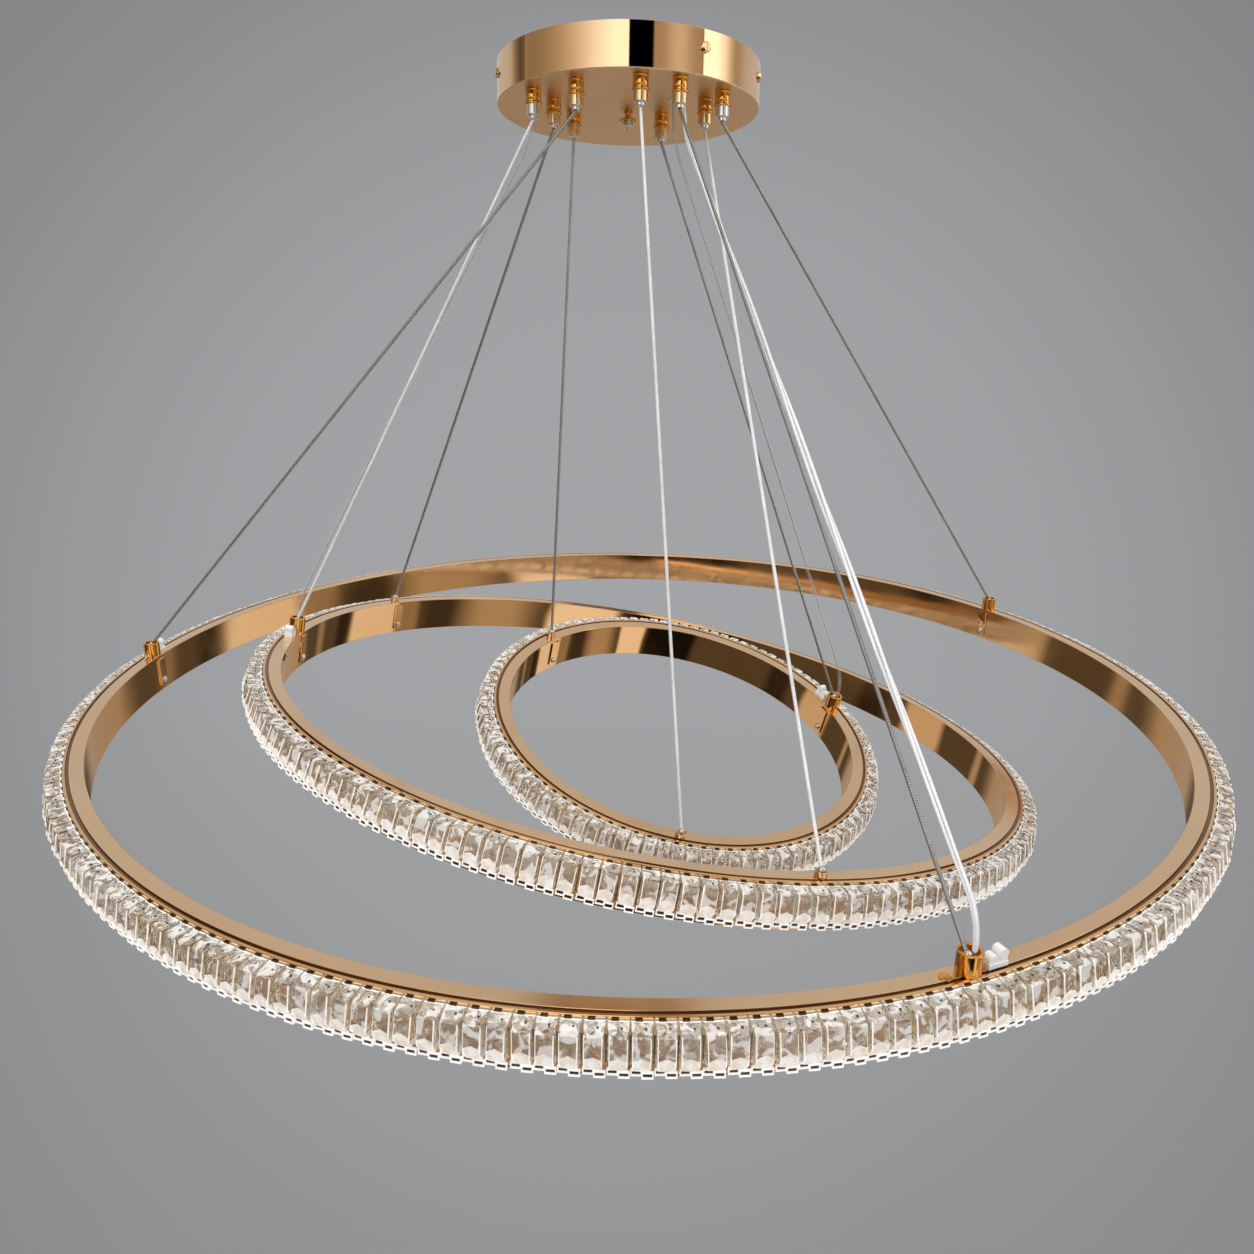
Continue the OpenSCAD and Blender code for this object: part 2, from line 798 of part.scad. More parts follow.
module ring_connector(k) {
    color("white")
    ring_place(k)
    rotate([0, 0, plug_angles[k]])
        translate([post_r(k), 0, 0])
            rotate([0, 0, -90])
                union() {
                    translate([-plug_w / 2, -plug_d / 2, 0])
                        cube([plug_w, plug_d, plug_base_h]);
                    intersection() {
                        translate([plug_w / 2 - plug_low_d / 2 - 0.3, plug_d / 2 - 0.6, plug_low_d / 2 - 0.4])
                            rotate([90, 0, 0])
                                cylinder(d = plug_low_d, h = plug_d - 1.2, $fn = 32);
                        translate([-plug_w, -plug_d, 1])
                            cube([2 * plug_w, 2 * plug_d, plug_high_h]);
                    }
                    translate([-plug_w / 2 + 0.5, -plug_d / 2 + 0.5, 1])
                        cube([plug_high_w, plug_d - 1, plug_high_h - plug_high_w / 2 - 1.3]);
                    translate([-plug_w / 2 + 0.5 + plug_high_w / 2, plug_d / 2 - 0.3, plug_high_h - plug_high_w / 2 - 0.3])
                        rotate([90, 0, 0])
                            cylinder(d = plug_high_w + 0.6, h = plug_d - 0.6, $fn = 32);
                }
}

module large_ring_frame() { ring_frame(0); }
module large_led_strip() { ring_strip(0); }
module large_diffuser() { ring_diffuser(0); }
module large_crystals_row() { ring_crystals(0); }
module large_hanger_posts() { ring_posts(0); }
module large_wire_balls() { ring_ferrules(0); }
module large_straps() { ring_straps(0); }
module large_strap_screws() { ring_strap_screws(0); }
module large_lead_connector() { ring_connector(0); }

module medium_ring_frame() { ring_frame(1); }
module medium_led_strip() { ring_strip(1); }
module medium_diffuser() { ring_diffuser(1); }
module medium_crystals_row() { ring_crystals(1); }
module medium_hanger_posts() { ring_posts(1); }
module medium_wire_balls() { ring_ferrules(1); }
module medium_straps() { ring_straps(1); }
module medium_strap_screws() { ring_strap_screws(1); }
module medium_lead_connector() { ring_connector(1); }

module small_ring_frame() { ring_frame(2); }
module small_led_strip() { ring_strip(2); }
module small_diffuser() { ring_diffuser(2); }
module small_crystals_row() { ring_crystals(2); }
module small_hanger_posts() { ring_posts(2); }
module small_wire_balls() { ring_ferrules(2); }
module small_straps() { ring_straps(2); }
module small_strap_screws() { ring_strap_screws(2); }
module small_lead_connector() { ring_connector(2); }

ceiling_bracket();
canopy_shell();
canopy_side_screws();
finial();
finial_nut();
led_driver();
terminal_block();
gland_bodies();
gland_nuts();
lead_grommets();
inner_wiring();
plunger_1();
plunger_2();
plunger_3();
plunger_4();
plunger_5();
plunger_6();
plunger_7();
plunger_8();
plunger_9();
wire_large_left();
wire_large_right();
wire_large_front();
wire_medium_left();
wire_medium_back();
wire_medium_front();
wire_small_left();
wire_small_right();
wire_small_front();
lead_large();
lead_medium();
lead_small();
large_ring_frame();
large_led_strip();
large_diffuser();
large_crystals_row();
large_hanger_posts();
large_wire_balls();
large_straps();
large_strap_screws();
large_lead_connector();
medium_ring_frame();
medium_led_strip();
medium_diffuser();
medium_crystals_row();
medium_hanger_posts();
medium_wire_balls();
medium_straps();
medium_strap_screws();
medium_lead_connector();
small_ring_frame();
small_led_strip();
small_diffuser();
small_crystals_row();
small_hanger_posts();
small_wire_balls();
small_straps();
small_strap_screws();
small_lead_connector();
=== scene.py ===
"""Looks of the ring chandelier: three leaning rings of cut crystal on gold frames, hung on steel wires from a
round gold canopy. Sizes are in millimetres until a mesh is made, and in metres after that."""

from math import acos, cos, pi, radians, sin, sqrt, tan

import bmesh
import bpy
import numpy as np
from mathutils import Matrix, Vector


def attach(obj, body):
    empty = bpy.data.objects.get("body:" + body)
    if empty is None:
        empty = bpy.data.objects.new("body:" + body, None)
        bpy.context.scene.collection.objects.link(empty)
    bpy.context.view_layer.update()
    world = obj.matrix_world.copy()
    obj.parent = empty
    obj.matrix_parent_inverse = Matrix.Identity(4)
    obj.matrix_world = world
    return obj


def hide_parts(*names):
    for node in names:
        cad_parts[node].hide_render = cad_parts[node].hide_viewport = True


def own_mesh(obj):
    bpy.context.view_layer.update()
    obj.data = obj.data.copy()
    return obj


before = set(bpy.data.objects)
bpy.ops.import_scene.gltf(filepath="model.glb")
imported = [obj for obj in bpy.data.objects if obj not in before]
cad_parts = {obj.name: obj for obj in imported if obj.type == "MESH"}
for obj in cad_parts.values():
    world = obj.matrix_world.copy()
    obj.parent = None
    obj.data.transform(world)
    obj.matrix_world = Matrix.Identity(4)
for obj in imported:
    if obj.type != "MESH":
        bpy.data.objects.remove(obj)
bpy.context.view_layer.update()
MM = 0.001
TINY = 1e-9
norm = np.linalg.norm
# Faces that meet at a greater angle than these have a crease between them
CREASE, TURNED_CREASE = radians(32), radians(40)


def stood(name, data):
    """A new object in the scene."""
    made = bpy.data.objects.new(name, data)
    bpy.context.scene.collection.objects.link(made)
    return made


# Camera
PHOTO_FROM = (0.0061, -0.8698, -0.2690)
PHOTO_DOWN = radians(11.95)
PHOTO_ROLL = radians(0.966)
PHOTO_LENS, PHOTO_SENSOR = 28.71, 36
PHOTO_AHEAD = (0.0, cos(PHOTO_DOWN), -sin(PHOTO_DOWN))


def place_camera():
    forward = Vector(PHOTO_AHEAD)
    level_up = Vector((0, sin(PHOTO_DOWN), cos(PHOTO_DOWN)))
    side = Vector((1, 0, 0))
    right = side * cos(PHOTO_ROLL) + level_up * sin(PHOTO_ROLL)
    up = level_up * cos(PHOTO_ROLL) - side * sin(PHOTO_ROLL)
    turn = Matrix((right, up, -forward)).transposed().to_4x4()
    data = bpy.data.cameras.new("photo_camera")
    data.lens = PHOTO_LENS
    data.sensor_width = PHOTO_SENSOR
    data.clip_end = 100
    camera = stood("photo_camera", data)
    camera.matrix_world = Matrix.Translation(PHOTO_FROM) @ turn
    bpy.context.scene.camera = camera


place_camera()

# Sizes that the pieces share
CANOPY_R = 104.0
UNDER_Z = -31.0
DECK_Z = -29.8
GLAND_MOUTH = UNDER_Z - 20.6
GLAND_SHARES = [(-0.683, -0.500), (-0.553, -0.269), (-0.361, -0.731), (-0.418, 0.024), (0.091, -0.856),
                (0.260, 0.063), (0.365, -0.817), (0.572, -0.332), (0.683, -0.524)]
GLANDS = [(x * CANOPY_R, y * CANOPY_R) for x, y in GLAND_SHARES]
SILVER_GLANDS = (0, 8)
POST_R, POST_H, CUP_R, CUP_DEPTH = 6.5, 12.0, 4.6, 5.0
SEAT_R, SEAT_H, SEAT_CUP_R, SEAT_DEPTH = 4.0, 4.0, 3.0, 2.2
BALL_R, WIRE_R, LEAD_R = 2.5, 1.2, 1.6
# In the post that a ring's lead ends in, the wire's ball stands this far aside
BALL_ASIDE = 1.7
TOP_W, WALL_H, WALL_T, TOP_T = 13.2, 31.0, 1.5, 1.6
CRYSTAL_OUT, CRYSTAL_BOTTOM = 13.7, -25.0

RINGS = {
    "large": dict(centre=(16, -35, -486), lean=(6, 0), out=450.0, crystals=258, posts=(176.7, 29.6, -68.6),
                  tall=(True, True, True), lead_post=2, lead_side=1, travel=0.12,
                  wires={"left": 2, "right": 8, "front": 6}, steps=480, seed=5, wall="wide_wall"),
    "medium": dict(centre=(24, -41, -504), lean=(2, 9.5), out=325.0, crystals=178,
                   posts=(178.8, 147.5, -70.8), tall=(True, False, False), lead_post=0, lead_side=-1,
                   travel=0.08, wires={"left": 0, "back": 1, "front": 7}, steps=400, seed=17,
                   wall="ring_mirror"),
    "small": dict(centre=(55, -49, -520), lean=(17, 11), out=175.0, crystals=102, posts=(144.9, 25.9, -89.8),
                  tall=(False, True, False), lead_post=1, lead_side=-1, travel=0.12,
                  wires={"left": 3, "right": 5, "front": 4}, steps=300, seed=29, wall="ring_mirror"),
}
for ring in RINGS.values():
    ring["top_r"] = ring["out"] - CRYSTAL_OUT
    ring["wall_r"] = ring["top_r"] - TOP_W
    ring["post_r"] = ring["top_r"] - TOP_W / 2
    ring["place"] = (Matrix.Translation(ring["centre"])
                     @ Matrix.Rotation(radians(ring["lean"][1]), 4, "Y")
                     @ Matrix.Rotation(radians(ring["lean"][0]), 4, "X"))

# The power leads' routes, the same points as in the part's source
LEAD_ROUTES = {
    "large": [
        (40.98, -70.51, -26.8), (40.98, -70.51, -31.2), (40.98, -70.51, -35.5), (41.34, -71.5, -47.15),
        (42.42, -74.45, -58.41), (44.19, -79.24, -68.93), (46.58, -85.74, -78.36), (66.61, -140.11, -143.94),
        (87.9, -197.89, -213.61), (109.18, -255.66, -283.29), (130.46, -313.44, -352.96),
        (151.74, -371.21, -422.64), (171.77, -425.59, -488.22), (173.23, -429.43, -493.96),
        (174.31, -432.07, -500.42), (174.98, -433.39, -507.32), (175.21, -433.34, -514.37),
        (175.21, -433.05, -517.16), (175.21, -432.67, -520.74)],
    "medium": [
        (-71.55, -37.54, -26.8), (-71.55, -37.54, -31.2), (-71.55, -37.54, -35.5), (-72.24, -37.53, -46.49),
        (-74.28, -37.48, -57.3), (-77.66, -37.41, -67.78), (-82.31, -37.3, -77.76),
        (-111.46, -36.64, -131.27),
        (-142.43, -35.94, -188.14), (-173.4, -35.24, -245), (-204.37, -34.54, -301.86),
        (-235.34, -33.84, -358.72), (-264.49, -33.18, -412.24), (-267.77, -33.08, -418.9),
        (-270.48, -32.93, -425.81), (-272.61, -32.73, -432.93), (-274.14, -32.49, -440.19),
        (-274.6, -32.4, -442.95), (-275.19, -32.27, -446.5)],
    "small": [
        (35.05, -32.97, -26.8), (35.05, -32.97, -31.2), (35.05, -32.97, -35.69), (35.54, -32.86, -46.7),
        (37.02, -32.52, -57.62), (39.47, -31.96, -68.36), (42.87, -31.18, -78.82), (67.41, -25.57, -144.19),
        (93.5, -19.61, -213.64), (119.58, -13.65, -283.1), (145.66, -7.69, -352.55), (171.74, -1.74, -422),
        (196.29, 3.87, -487.37), (198.38, 4.67, -494.3), (199.5, 5.89, -501.39), (199.65, 7.5, -508.49),
        (198.81, 9.46, -515.45), (198.3, 10.28, -518.08), (197.64, 11.33, -521.46)],
}


# Shader sums
class Amount:
    """A value in a material's sums. Operators add the Math nodes."""

    def __init__(self, finish, out):
        self.finish = finish
        self.out = out

    def sum(self, kind, *others):
        return self.finish.node("ShaderNodeMath", {"operation": kind}, *others)

    def __add__(self, other):
        return self.sum("ADD", self, other)

    __radd__ = __add__

    def __sub__(self, other):
        return self.sum("SUBTRACT", self, other)

    def __rsub__(self, other):
        return self.sum("SUBTRACT", other, self)

    def __mul__(self, other):
        return self.sum("MULTIPLY", self, other)

    __rmul__ = __mul__

    def __pow__(self, other):
        return self.sum("POWER", self, other)

    def __rpow__(self, other):
        return self.sum("POWER", other, self)

    def part(self, name):
        return Amount(self.finish, self.out.node.outputs[name])


class Finish:
    """One node tree of a material or the world, with the few calls that build it."""

    def __init__(self, tree, material=None):
        self.tree = tree
        self.material = material

    def node(self, kind, settings=None, *inputs, **named):
        n = self.tree.nodes.new(kind)
        for key, value in (settings or {}).items():
            setattr(n, key, value)
        for at, value in enumerate(inputs):
            self.feed(n.inputs[at], value)
        for key, value in named.items():
            self.feed(n.inputs[key.replace("_", " ")], value)
        return Amount(self, n.outputs[0] if n.outputs else None)

    def feed(self, socket, value):
        if isinstance(value, Amount):
            self.tree.links.new(value.out, socket)
        elif value is not None:
            socket.default_value = value

    def coords(self):
        return self.node("ShaderNodeTexCoord").part("Object")

    def noise(self, scale, detail, rough=0.5, at=None, **more):
        return self.node("ShaderNodeTexNoise", None, Vector=at or self.coords(), Scale=scale, Detail=detail,
                         Roughness=rough, **more)

    def between(self, value, low, high, to_low=0.0, to_high=1.0, kind="LINEAR"):
        return self.node("ShaderNodeMapRange", {"interpolation_type": kind}, Value=value, From_Min=low,
                         From_Max=high, To_Min=to_low, To_Max=to_high)

    def step(self, value, low, high, to_low=0.0, to_high=1.0):
        """The same with soft ends."""
        return self.between(value, low, high, to_low, to_high, "SMOOTHSTEP")

    def mix(self, share, one, two):
        return self.node("ShaderNodeMix", {"data_type": "FLOAT"}, Factor=share, A=one, B=two)

    def vector(self, kind, *inputs):
        return self.node("ShaderNodeVectorMath", {"operation": kind}, *inputs)

    def blend(self, share, one, two):
        """Mixes two colours. Five sockets of other kinds come before theirs, and two results before this."""
        mixed = self.node("ShaderNodeMix", {"data_type": "RGBA"}, share, *[None] * 5, one, two)
        return Amount(self, mixed.out.node.outputs[2])

    def cloudy(self, noise, low, high, one, two):
        """One colour that passes into another as a noise goes from low to high."""
        return self.blend(self.between(noise, low, high), tone(*one), tone(*two))

    def bump(self, height, strength, distance):
        return self.node("ShaderNodeBump", None, Height=height, Strength=strength, Distance=distance)

    def shade(self, **values):
        """Sets the material's own shader, and returns the material."""
        for key, value in values.items():
            self.feed(self.own.inputs[key.replace("_", " ")], value)
        return self.material

    def cover(self, share, shader):
        """Lays a second shader over the material's own."""
        mixed = self.node("ShaderNodeMixShader", None, share, Amount(self, self.own.outputs[0]), shader)
        self.tree.links.new(mixed.out, self.tree.nodes["Material Output"].inputs["Surface"])

    @property
    def own(self):
        return self.tree.nodes["Principled BSDF"]


def finish_named(name):
    material = bpy.data.materials.new(name)
    material.use_nodes = True
    return Finish(material.node_tree, material)


def tone(r, g, b):
    return (r, g, b, 1.0)


def dimmed(colour, share):
    return tuple(c * share for c in colour)


def polished_metal(name, colour, deep, low_rough, high_rough, ripple=0.0, smudge=24.0):
    """Plated and polished metal: a little cloud in its colour, smudges in its gloss, and faint waves."""
    f = finish_named(name)
    cloud = f.noise(9.0, 2.0)
    smear = f.noise(smudge, 5.0, 0.62)
    if ripple:
        f.shade(Normal=f.bump(f.noise(14.0, 1.0, 0.4), ripple, 0.002))
    return f.shade(Metallic=1.0, Base_Color=f.cloudy(cloud, 0.35, 0.7, colour, deep),
                   Roughness=f.between(smear, 0.38, 0.68, low_rough, high_rough))


def satin_metal(name, colour, deep, rough):
    """Lacquered sheet with fine brushing that runs one way."""
    f = finish_named(name)
    drawn_out = f.node("ShaderNodeMapping", {"vector_type": "POINT"}, Vector=f.coords(),
                       Scale=(60.0, 900.0, 900.0))
    brush = f.noise(1.0, 4.0, 0.6, at=drawn_out)
    cloud = f.noise(7.0, 2.0)
    return f.shade(Metallic=1.0, Base_Color=f.cloudy(cloud, 0.35, 0.7, colour, deep),
                   Roughness=f.between(brush, 0.3, 0.7, rough - 0.04, rough + 0.05),
                   Normal=f.bump(brush, 0.05, 0.0004))


def moulded_plastic(name, colour, rough):
    f = finish_named(name)
    grain = f.noise(900.0, 2.0)
    cloud = f.noise(60.0, 2.0)
    return f.shade(Base_Color=f.cloudy(cloud, 0.3, 0.7, colour, dimmed(colour, 0.93)),
                   Roughness=f.between(grain, 0.3, 0.7, rough - 0.05, rough + 0.05),
                   Normal=f.bump(grain, 0.12, 0.0002))


MILK_WHITE = tone(0.98, 0.975, 0.96)


def crystal_glass(name):
    """Clear moulded crystal: wavy inside, with curling patches where a facet is milky white."""
    f = finish_named(name)
    swirl = f.noise(140.0, 1.5, 0.45, Distortion=1.0)
    wave = f.noise(230.0, 1.0)
    warm = f.noise(80.0, 2.0)
    milk = f.node("ShaderNodeBsdfPrincipled", None, Base_Color=MILK_WHITE, Roughness=0.14,
                  Transmission_Weight=0.2, IOR=1.52)
    f.cover(f.step(swirl, 0.49, 0.6, 0.0, 0.66), milk)
    return f.shade(Base_Color=f.cloudy(warm, 0.4, 0.62, (1.0, 0.985, 0.95), (0.99, 0.91, 0.77)),
                   Roughness=f.between(swirl, 0.4, 0.7, 0.0, 0.06), IOR=1.52, Transmission_Weight=0.96,
                   Normal=f.bump(wave, 0.28, 0.0012))


def cut_facet(name):
    """Facets with a painted glint: near-white glass, little of it clear, with a faint painted glow and warm
    streaks.
    """
    f = finish_named(name)
    streak = f.noise(220.0, 2.0)
    return f.shade(Base_Color=f.cloudy(streak, 0.42, 0.6, (0.99, 0.985, 0.97), (0.86, 0.74, 0.56)),
                   Roughness=f.between(streak, 0.4, 0.7, 0.06, 0.16), IOR=1.6, Transmission_Weight=0.15,
                   Emission_Color=tone(1.0, 0.98, 0.96), Emission_Strength=0.24)


def ground_glass(name):
    """Glass left a little milky where it was ground to size, and given a faint painted glow."""
    f = finish_named(name)
    cloud = f.noise(300.0, 2.0)
    return f.shade(Base_Color=MILK_WHITE, Roughness=f.between(cloud, 0.3, 0.7, 0.12, 0.3), IOR=1.55,
                   Transmission_Weight=0.12, Emission_Color=tone(1.0, 0.98, 0.95), Emission_Strength=0.26)


def frosted_band(name):
    f = finish_named(name)
    cloud = f.noise(40.0, 2.0)
    return f.shade(Base_Color=f.blend(cloud, tone(0.96, 0.94, 0.91), tone(0.92, 0.88, 0.82)), Roughness=0.24,
                   IOR=1.4, Transmission_Weight=0.74)


def lit_strip(name):
    """The strip's white lacquer, with the low glow of lamps turned right down."""
    f = finish_named(name)
    cloud = f.noise(60.0, 2.0)
    return f.shade(Base_Color=f.blend(cloud, tone(0.86, 0.86, 0.83), tone(0.78, 0.77, 0.72)), Roughness=0.4,
                   Emission_Color=tone(1.0, 0.95, 0.88), Emission_Strength=0.35)


def steel_rope(name, colour, rough, metallic):
    f = finish_named(name)
    dirt = f.noise(60.0, 2.0)
    return f.shade(Metallic=metallic, Base_Color=f.cloudy(dirt, 0.3, 0.7, colour, dimmed(colour, 0.84)),
                   Roughness=f.between(dirt, 0.3, 0.7, rough, rough + 0.1))


def clear_sheath(name):
    """Soft clear vinyl, nearly lost against what is behind it."""
    f = finish_named(name)
    cloud = f.noise(90.0, 2.0)
    return f.shade(Base_Color=tone(0.96, 0.97, 0.98), Roughness=f.between(cloud, 0.3, 0.7, 0.06, 0.16),
                   Alpha=f.between(cloud, 0.3, 0.7, 0.06, 0.12))


WALL_GOLD, WALL_DEEP = (0.92, 0.59, 0.31), (0.87, 0.53, 0.26)
FINE_SMUDGE = 90.0
# How each finish is made, and with what: for metals the colour, its deeper cloud, and the roughness
RECIPES = {
    "ring_mirror": (polished_metal, WALL_GOLD, WALL_DEEP, 0.02, 0.06, 0.3),
    "wide_wall": (polished_metal, WALL_GOLD, WALL_DEEP, 0.08, 0.14, 0.3),
    # The groove's near-black bronze is painted shade
    "groove_bronze": (polished_metal, (0.30, 0.15, 0.06), (0.22, 0.10, 0.04), 0.2, 0.3),
    "ring_top": (polished_metal, (0.93, 0.65, 0.40), (0.88, 0.60, 0.36), 0.12, 0.2, 0.05),
    "drum_mirror": (polished_metal, (0.90, 0.61, 0.36), (0.84, 0.55, 0.31), 0.02, 0.06, 0.02),
    "drum_satin": (satin_metal, (0.95, 0.71, 0.49), (0.89, 0.66, 0.45), 0.42),
    "drum_inside": (satin_metal, (0.50, 0.48, 0.45), (0.42, 0.40, 0.37), 0.5),
    # The canopy's bottom edge: a paler gold that is a painted highlight
    "rim_gold": (polished_metal, (1.0, 0.80, 0.56), (0.97, 0.76, 0.51), 0.4, 0.5, 0.0, FINE_SMUDGE),
    "deep_gold": (polished_metal, (0.94, 0.48, 0.12), (0.88, 0.42, 0.09), 0.14, 0.2, 0.0, FINE_SMUDGE),
    "pale_gold": (polished_metal, (0.95, 0.72, 0.44), (0.90, 0.65, 0.36), 0.24, 0.3, 0.0, FINE_SMUDGE),
    "nickel": (polished_metal, (0.88, 0.88, 0.87), (0.80, 0.80, 0.79), 0.26, 0.34, 0.0, FINE_SMUDGE),
    "zinc": (satin_metal, (0.62, 0.63, 0.65), (0.50, 0.51, 0.54), 0.42),
    "steel_rope": (steel_rope, (0.52, 0.53, 0.55), 0.34, 1.0),
    # A paler copy of the wires' steel: painted sheen
    "bright_rope": (steel_rope, (0.93, 0.94, 0.96), 0.4, 0.4),
    "milky_core": (moulded_plastic, (0.84, 0.84, 0.85), 0.2),
    "dull_core": (polished_metal, (0.50, 0.50, 0.51), (0.40, 0.40, 0.42), 0.3, 0.45),
    "clear_sheath": (clear_sheath,),
    "white_plastic": (moulded_plastic, (0.84, 0.84, 0.83), 0.35),
    "ivory_plastic": (moulded_plastic, (0.78, 0.74, 0.62), 0.42),
    "strip_white": (lit_strip,),
    "chip_yellow": (moulded_plastic, (0.82, 0.66, 0.22), 0.3),
    "opal": (frosted_band,),
    "crystal": (crystal_glass,),
    "cut_facet": (cut_facet,),
    "ground_glass": (ground_glass,),
    # Near black: painted shade in the eyes' holes and the notches under the lip
    "clip_bronze": (polished_metal, (0.13, 0.085, 0.055), (0.07, 0.045, 0.03), 0.35, 0.5),
}
FINISHES = {name: make(name, *values) for name, (make, *values) in RECIPES.items()}


# Meshes
def new_piece(name, points, faces, finishes, zones=None, normals=None, place=None):
    """An object whose place is in its mesh. Points are in millimetres."""
    matrix = place or Matrix.Identity(4)
    scale = Matrix.Diagonal((MM, MM, MM, 1.0))
    mesh = bpy.data.meshes.new(name)
    mesh.from_pydata([tuple(p) for p in points], [], faces)
    for f in finishes:
        mesh.materials.append(FINISHES[f])
    if zones is not None:
        mesh.polygons.foreach_set("material_index", np.array(zones, np.int32))
    mesh.transform(scale @ matrix)
    mesh.shade_smooth()
    if normals is None:
        shell = bmesh.new()
        shell.from_mesh(mesh)
        bmesh.ops.recalc_face_normals(shell, faces=shell.faces)
        shell.to_mesh(mesh)
        shell.free()
        mesh.set_sharp_from_angle(angle=CREASE)
    else:
        turn = np.array(matrix.to_3x3(), float)
        mesh.normals_split_custom_set((normals @ turn.T).tolist())
    mesh.update()
    return stood(name, mesh)


def faceted(piece):
    """The same piece with each face flat."""
    for p in piece.data.polygons:
        p.use_smooth = False
    return piece


def eased(outline, steps):
    """Rounds an outline's corners. Each corner is (radius, height) or (radius, height, ease). Returns the
    points, and for each edge after a point whether it is part of a rounded corner."""
    points, curved = [], []
    n = len(outline)
    for i, corner in enumerate(outline):
        p = np.array(corner[:2], float)
        ease = corner[2] if len(corner) > 2 else 0.0
        if not ease:
            points.append(p)
            curved.append(False)
            continue
        before = np.array(outline[i - 1][:2], float) - p
        after = np.array(outline[(i + 1) % n][:2], float) - p
        a, b = before / norm(before), after / norm(after)
        half = acos(max(-1.0, min(1.0, float(a @ b)))) / 2
        reach = ease / tan(half)
        middle = p + (a + b) / norm(a + b) * ease / sin(half)
        start, end = p + a * reach - middle, p + b * reach - middle
        sweep = pi - 2 * half
        sign = 1.0 if start[0] * end[1] - start[1] * end[0] > 0 else -1.0
        for s in range(steps + 1):
            t = sign * sweep * s / steps
            points.append(middle + np.array([start[0] * cos(t) - start[1] * sin(t),
                                             start[0] * sin(t) + start[1] * cos(t)]))
            curved.append(s < steps)
    return points, curved


def moved(outline, up):
    return [(r, z + up, *ease) for r, z, *ease in outline]


def turned(name, outline, steps, finishes, zone_at=None, place=None, ease_steps=4):
    """A piece turned round the Z axis from a closed outline that runs anticlockwise, radius to the right and
    height up. zone_at(radius, height) picks the finish of each band by its middle."""
    points, curved = eased(outline, ease_steps)
    n = len(points)
    on_axis = 1e-6
    edge_normals = []
    for i in range(n):
        e = points[(i + 1) % n] - points[i]
        edge_normals.append(np.array([e[1], -e[0]]) / max(norm(e), 1e-12))

    def corner_normal(i, edge):
        one, two = edge_normals[i - 1], edge_normals[i]
        if float(one @ two) < cos(TURNED_CREASE):
            return edge_normals[edge]
        if curved[i - 1] != curved[i]:
            return two if curved[i - 1] else one
        mean = one + two
        return mean / norm(mean)

    angles = [2 * pi * j / steps for j in range(steps)]
    ring_of, verts = [], []
    for r, z in points:
        if r < on_axis:
            ring_of.append([len(verts)] * steps)
            verts.append((0.0, 0.0, z))
        else:
            ring_of.append(list(range(len(verts), len(verts) + steps)))
            verts += [(r * cos(t), r * sin(t), z) for t in angles]
    faces, zones, normals = [], [], []
    for i in range(n):
        k = (i + 1) % n
        if points[i][0] < on_axis and points[k][0] < on_axis:
            continue
        na, nb = corner_normal(i, i), corner_normal(k, i)
        middle = (points[i] + points[k]) / 2
        zone = zone_at(middle[0], middle[1]) if zone_at else 0
        for j in range(steps):
            q = (j + 1) % steps
            corners = [(ring_of[i][j], na, j), (ring_of[i][q], na, q), (ring_of[k][q], nb, q),
                       (ring_of[k][j], nb, j)]
            if corners[0][0] == corners[1][0]:
                corners = [(corners[0][0], na, j)] + corners[2:]
            elif corners[2][0] == corners[3][0]:
                corners = corners[:3]
            faces.append([c[0] for c in corners])
            zones.append(zone)
            for _, m, t in corners:
                normals.append((m[0] * cos(angles[t]), m[0] * sin(angles[t]), m[1]))
    return new_piece(name, verts, faces, finishes, zones, np.array(normals), place)


def wrapped_faces(rows, around):
    """Faces between rows of points, each row closed on itself."""
    faces = []
    for i in range(rows - 1):
        for j in range(around):
            q = (j + 1) % around
            faces.append((i * around + j, i * around + q, (i + 1) * around + q, (i + 1) * around + j))
    return faces


SIDE_HINT = (0.3, 1.0, 0.2)


def path_tangents(points):
    tangents = np.gradient(points, axis=0)
    return tangents / norm(tangents, axis=1)[:, None]


def lengths_along(points):
    """How far along a path each of its points lies."""
    return np.concatenate([[0], np.cumsum(norm(np.diff(points, axis=0), axis=1))])


def swept(name, path, section, finish, twist=None):
    """A closed tube along a path in millimetres. section holds a row of radii for each point of the path, and
    twist the angle that each row is turned by."""
    pts = np.array(path, float)
    n = len(pts)
    tangents = path_tangents(pts)
    side = np.cross(tangents[0], SIDE_HINT)
    side /= norm(side)
    sides = []
    for t in tangents:
        side = side - t * (side @ t)
        side /= norm(side)
        sides.append(side)
    sides = np.array(sides)
    ups = np.cross(tangents, sides)
    radii = np.array(section, float)
    m = radii.shape[1]
    angles = np.arange(m) * 2 * pi / m
    turn = np.zeros(n) if twist is None else twist
    a = angles[None, :] + turn[:, None]
    rows = (pts[:, None, :] + (radii * np.cos(a))[:, :, None] * sides[:, None, :]
            + (radii * np.sin(a))[:, :, None] * ups[:, None, :])
    verts = list(rows.reshape(-1, 3)) + [pts[0], pts[-1]]
    faces = wrapped_faces(n, m)
    for j in range(m):
        q = (j + 1) % m
        faces.append((n * m, q, j))
        faces.append((n * m + 1, (n - 1) * m + j, (n - 1) * m + q))
    return new_piece(name, verts, faces, [finish])


def tube(name, path, radius, sides, finish):
    return swept(name, path, np.full((len(path), sides), radius), finish)


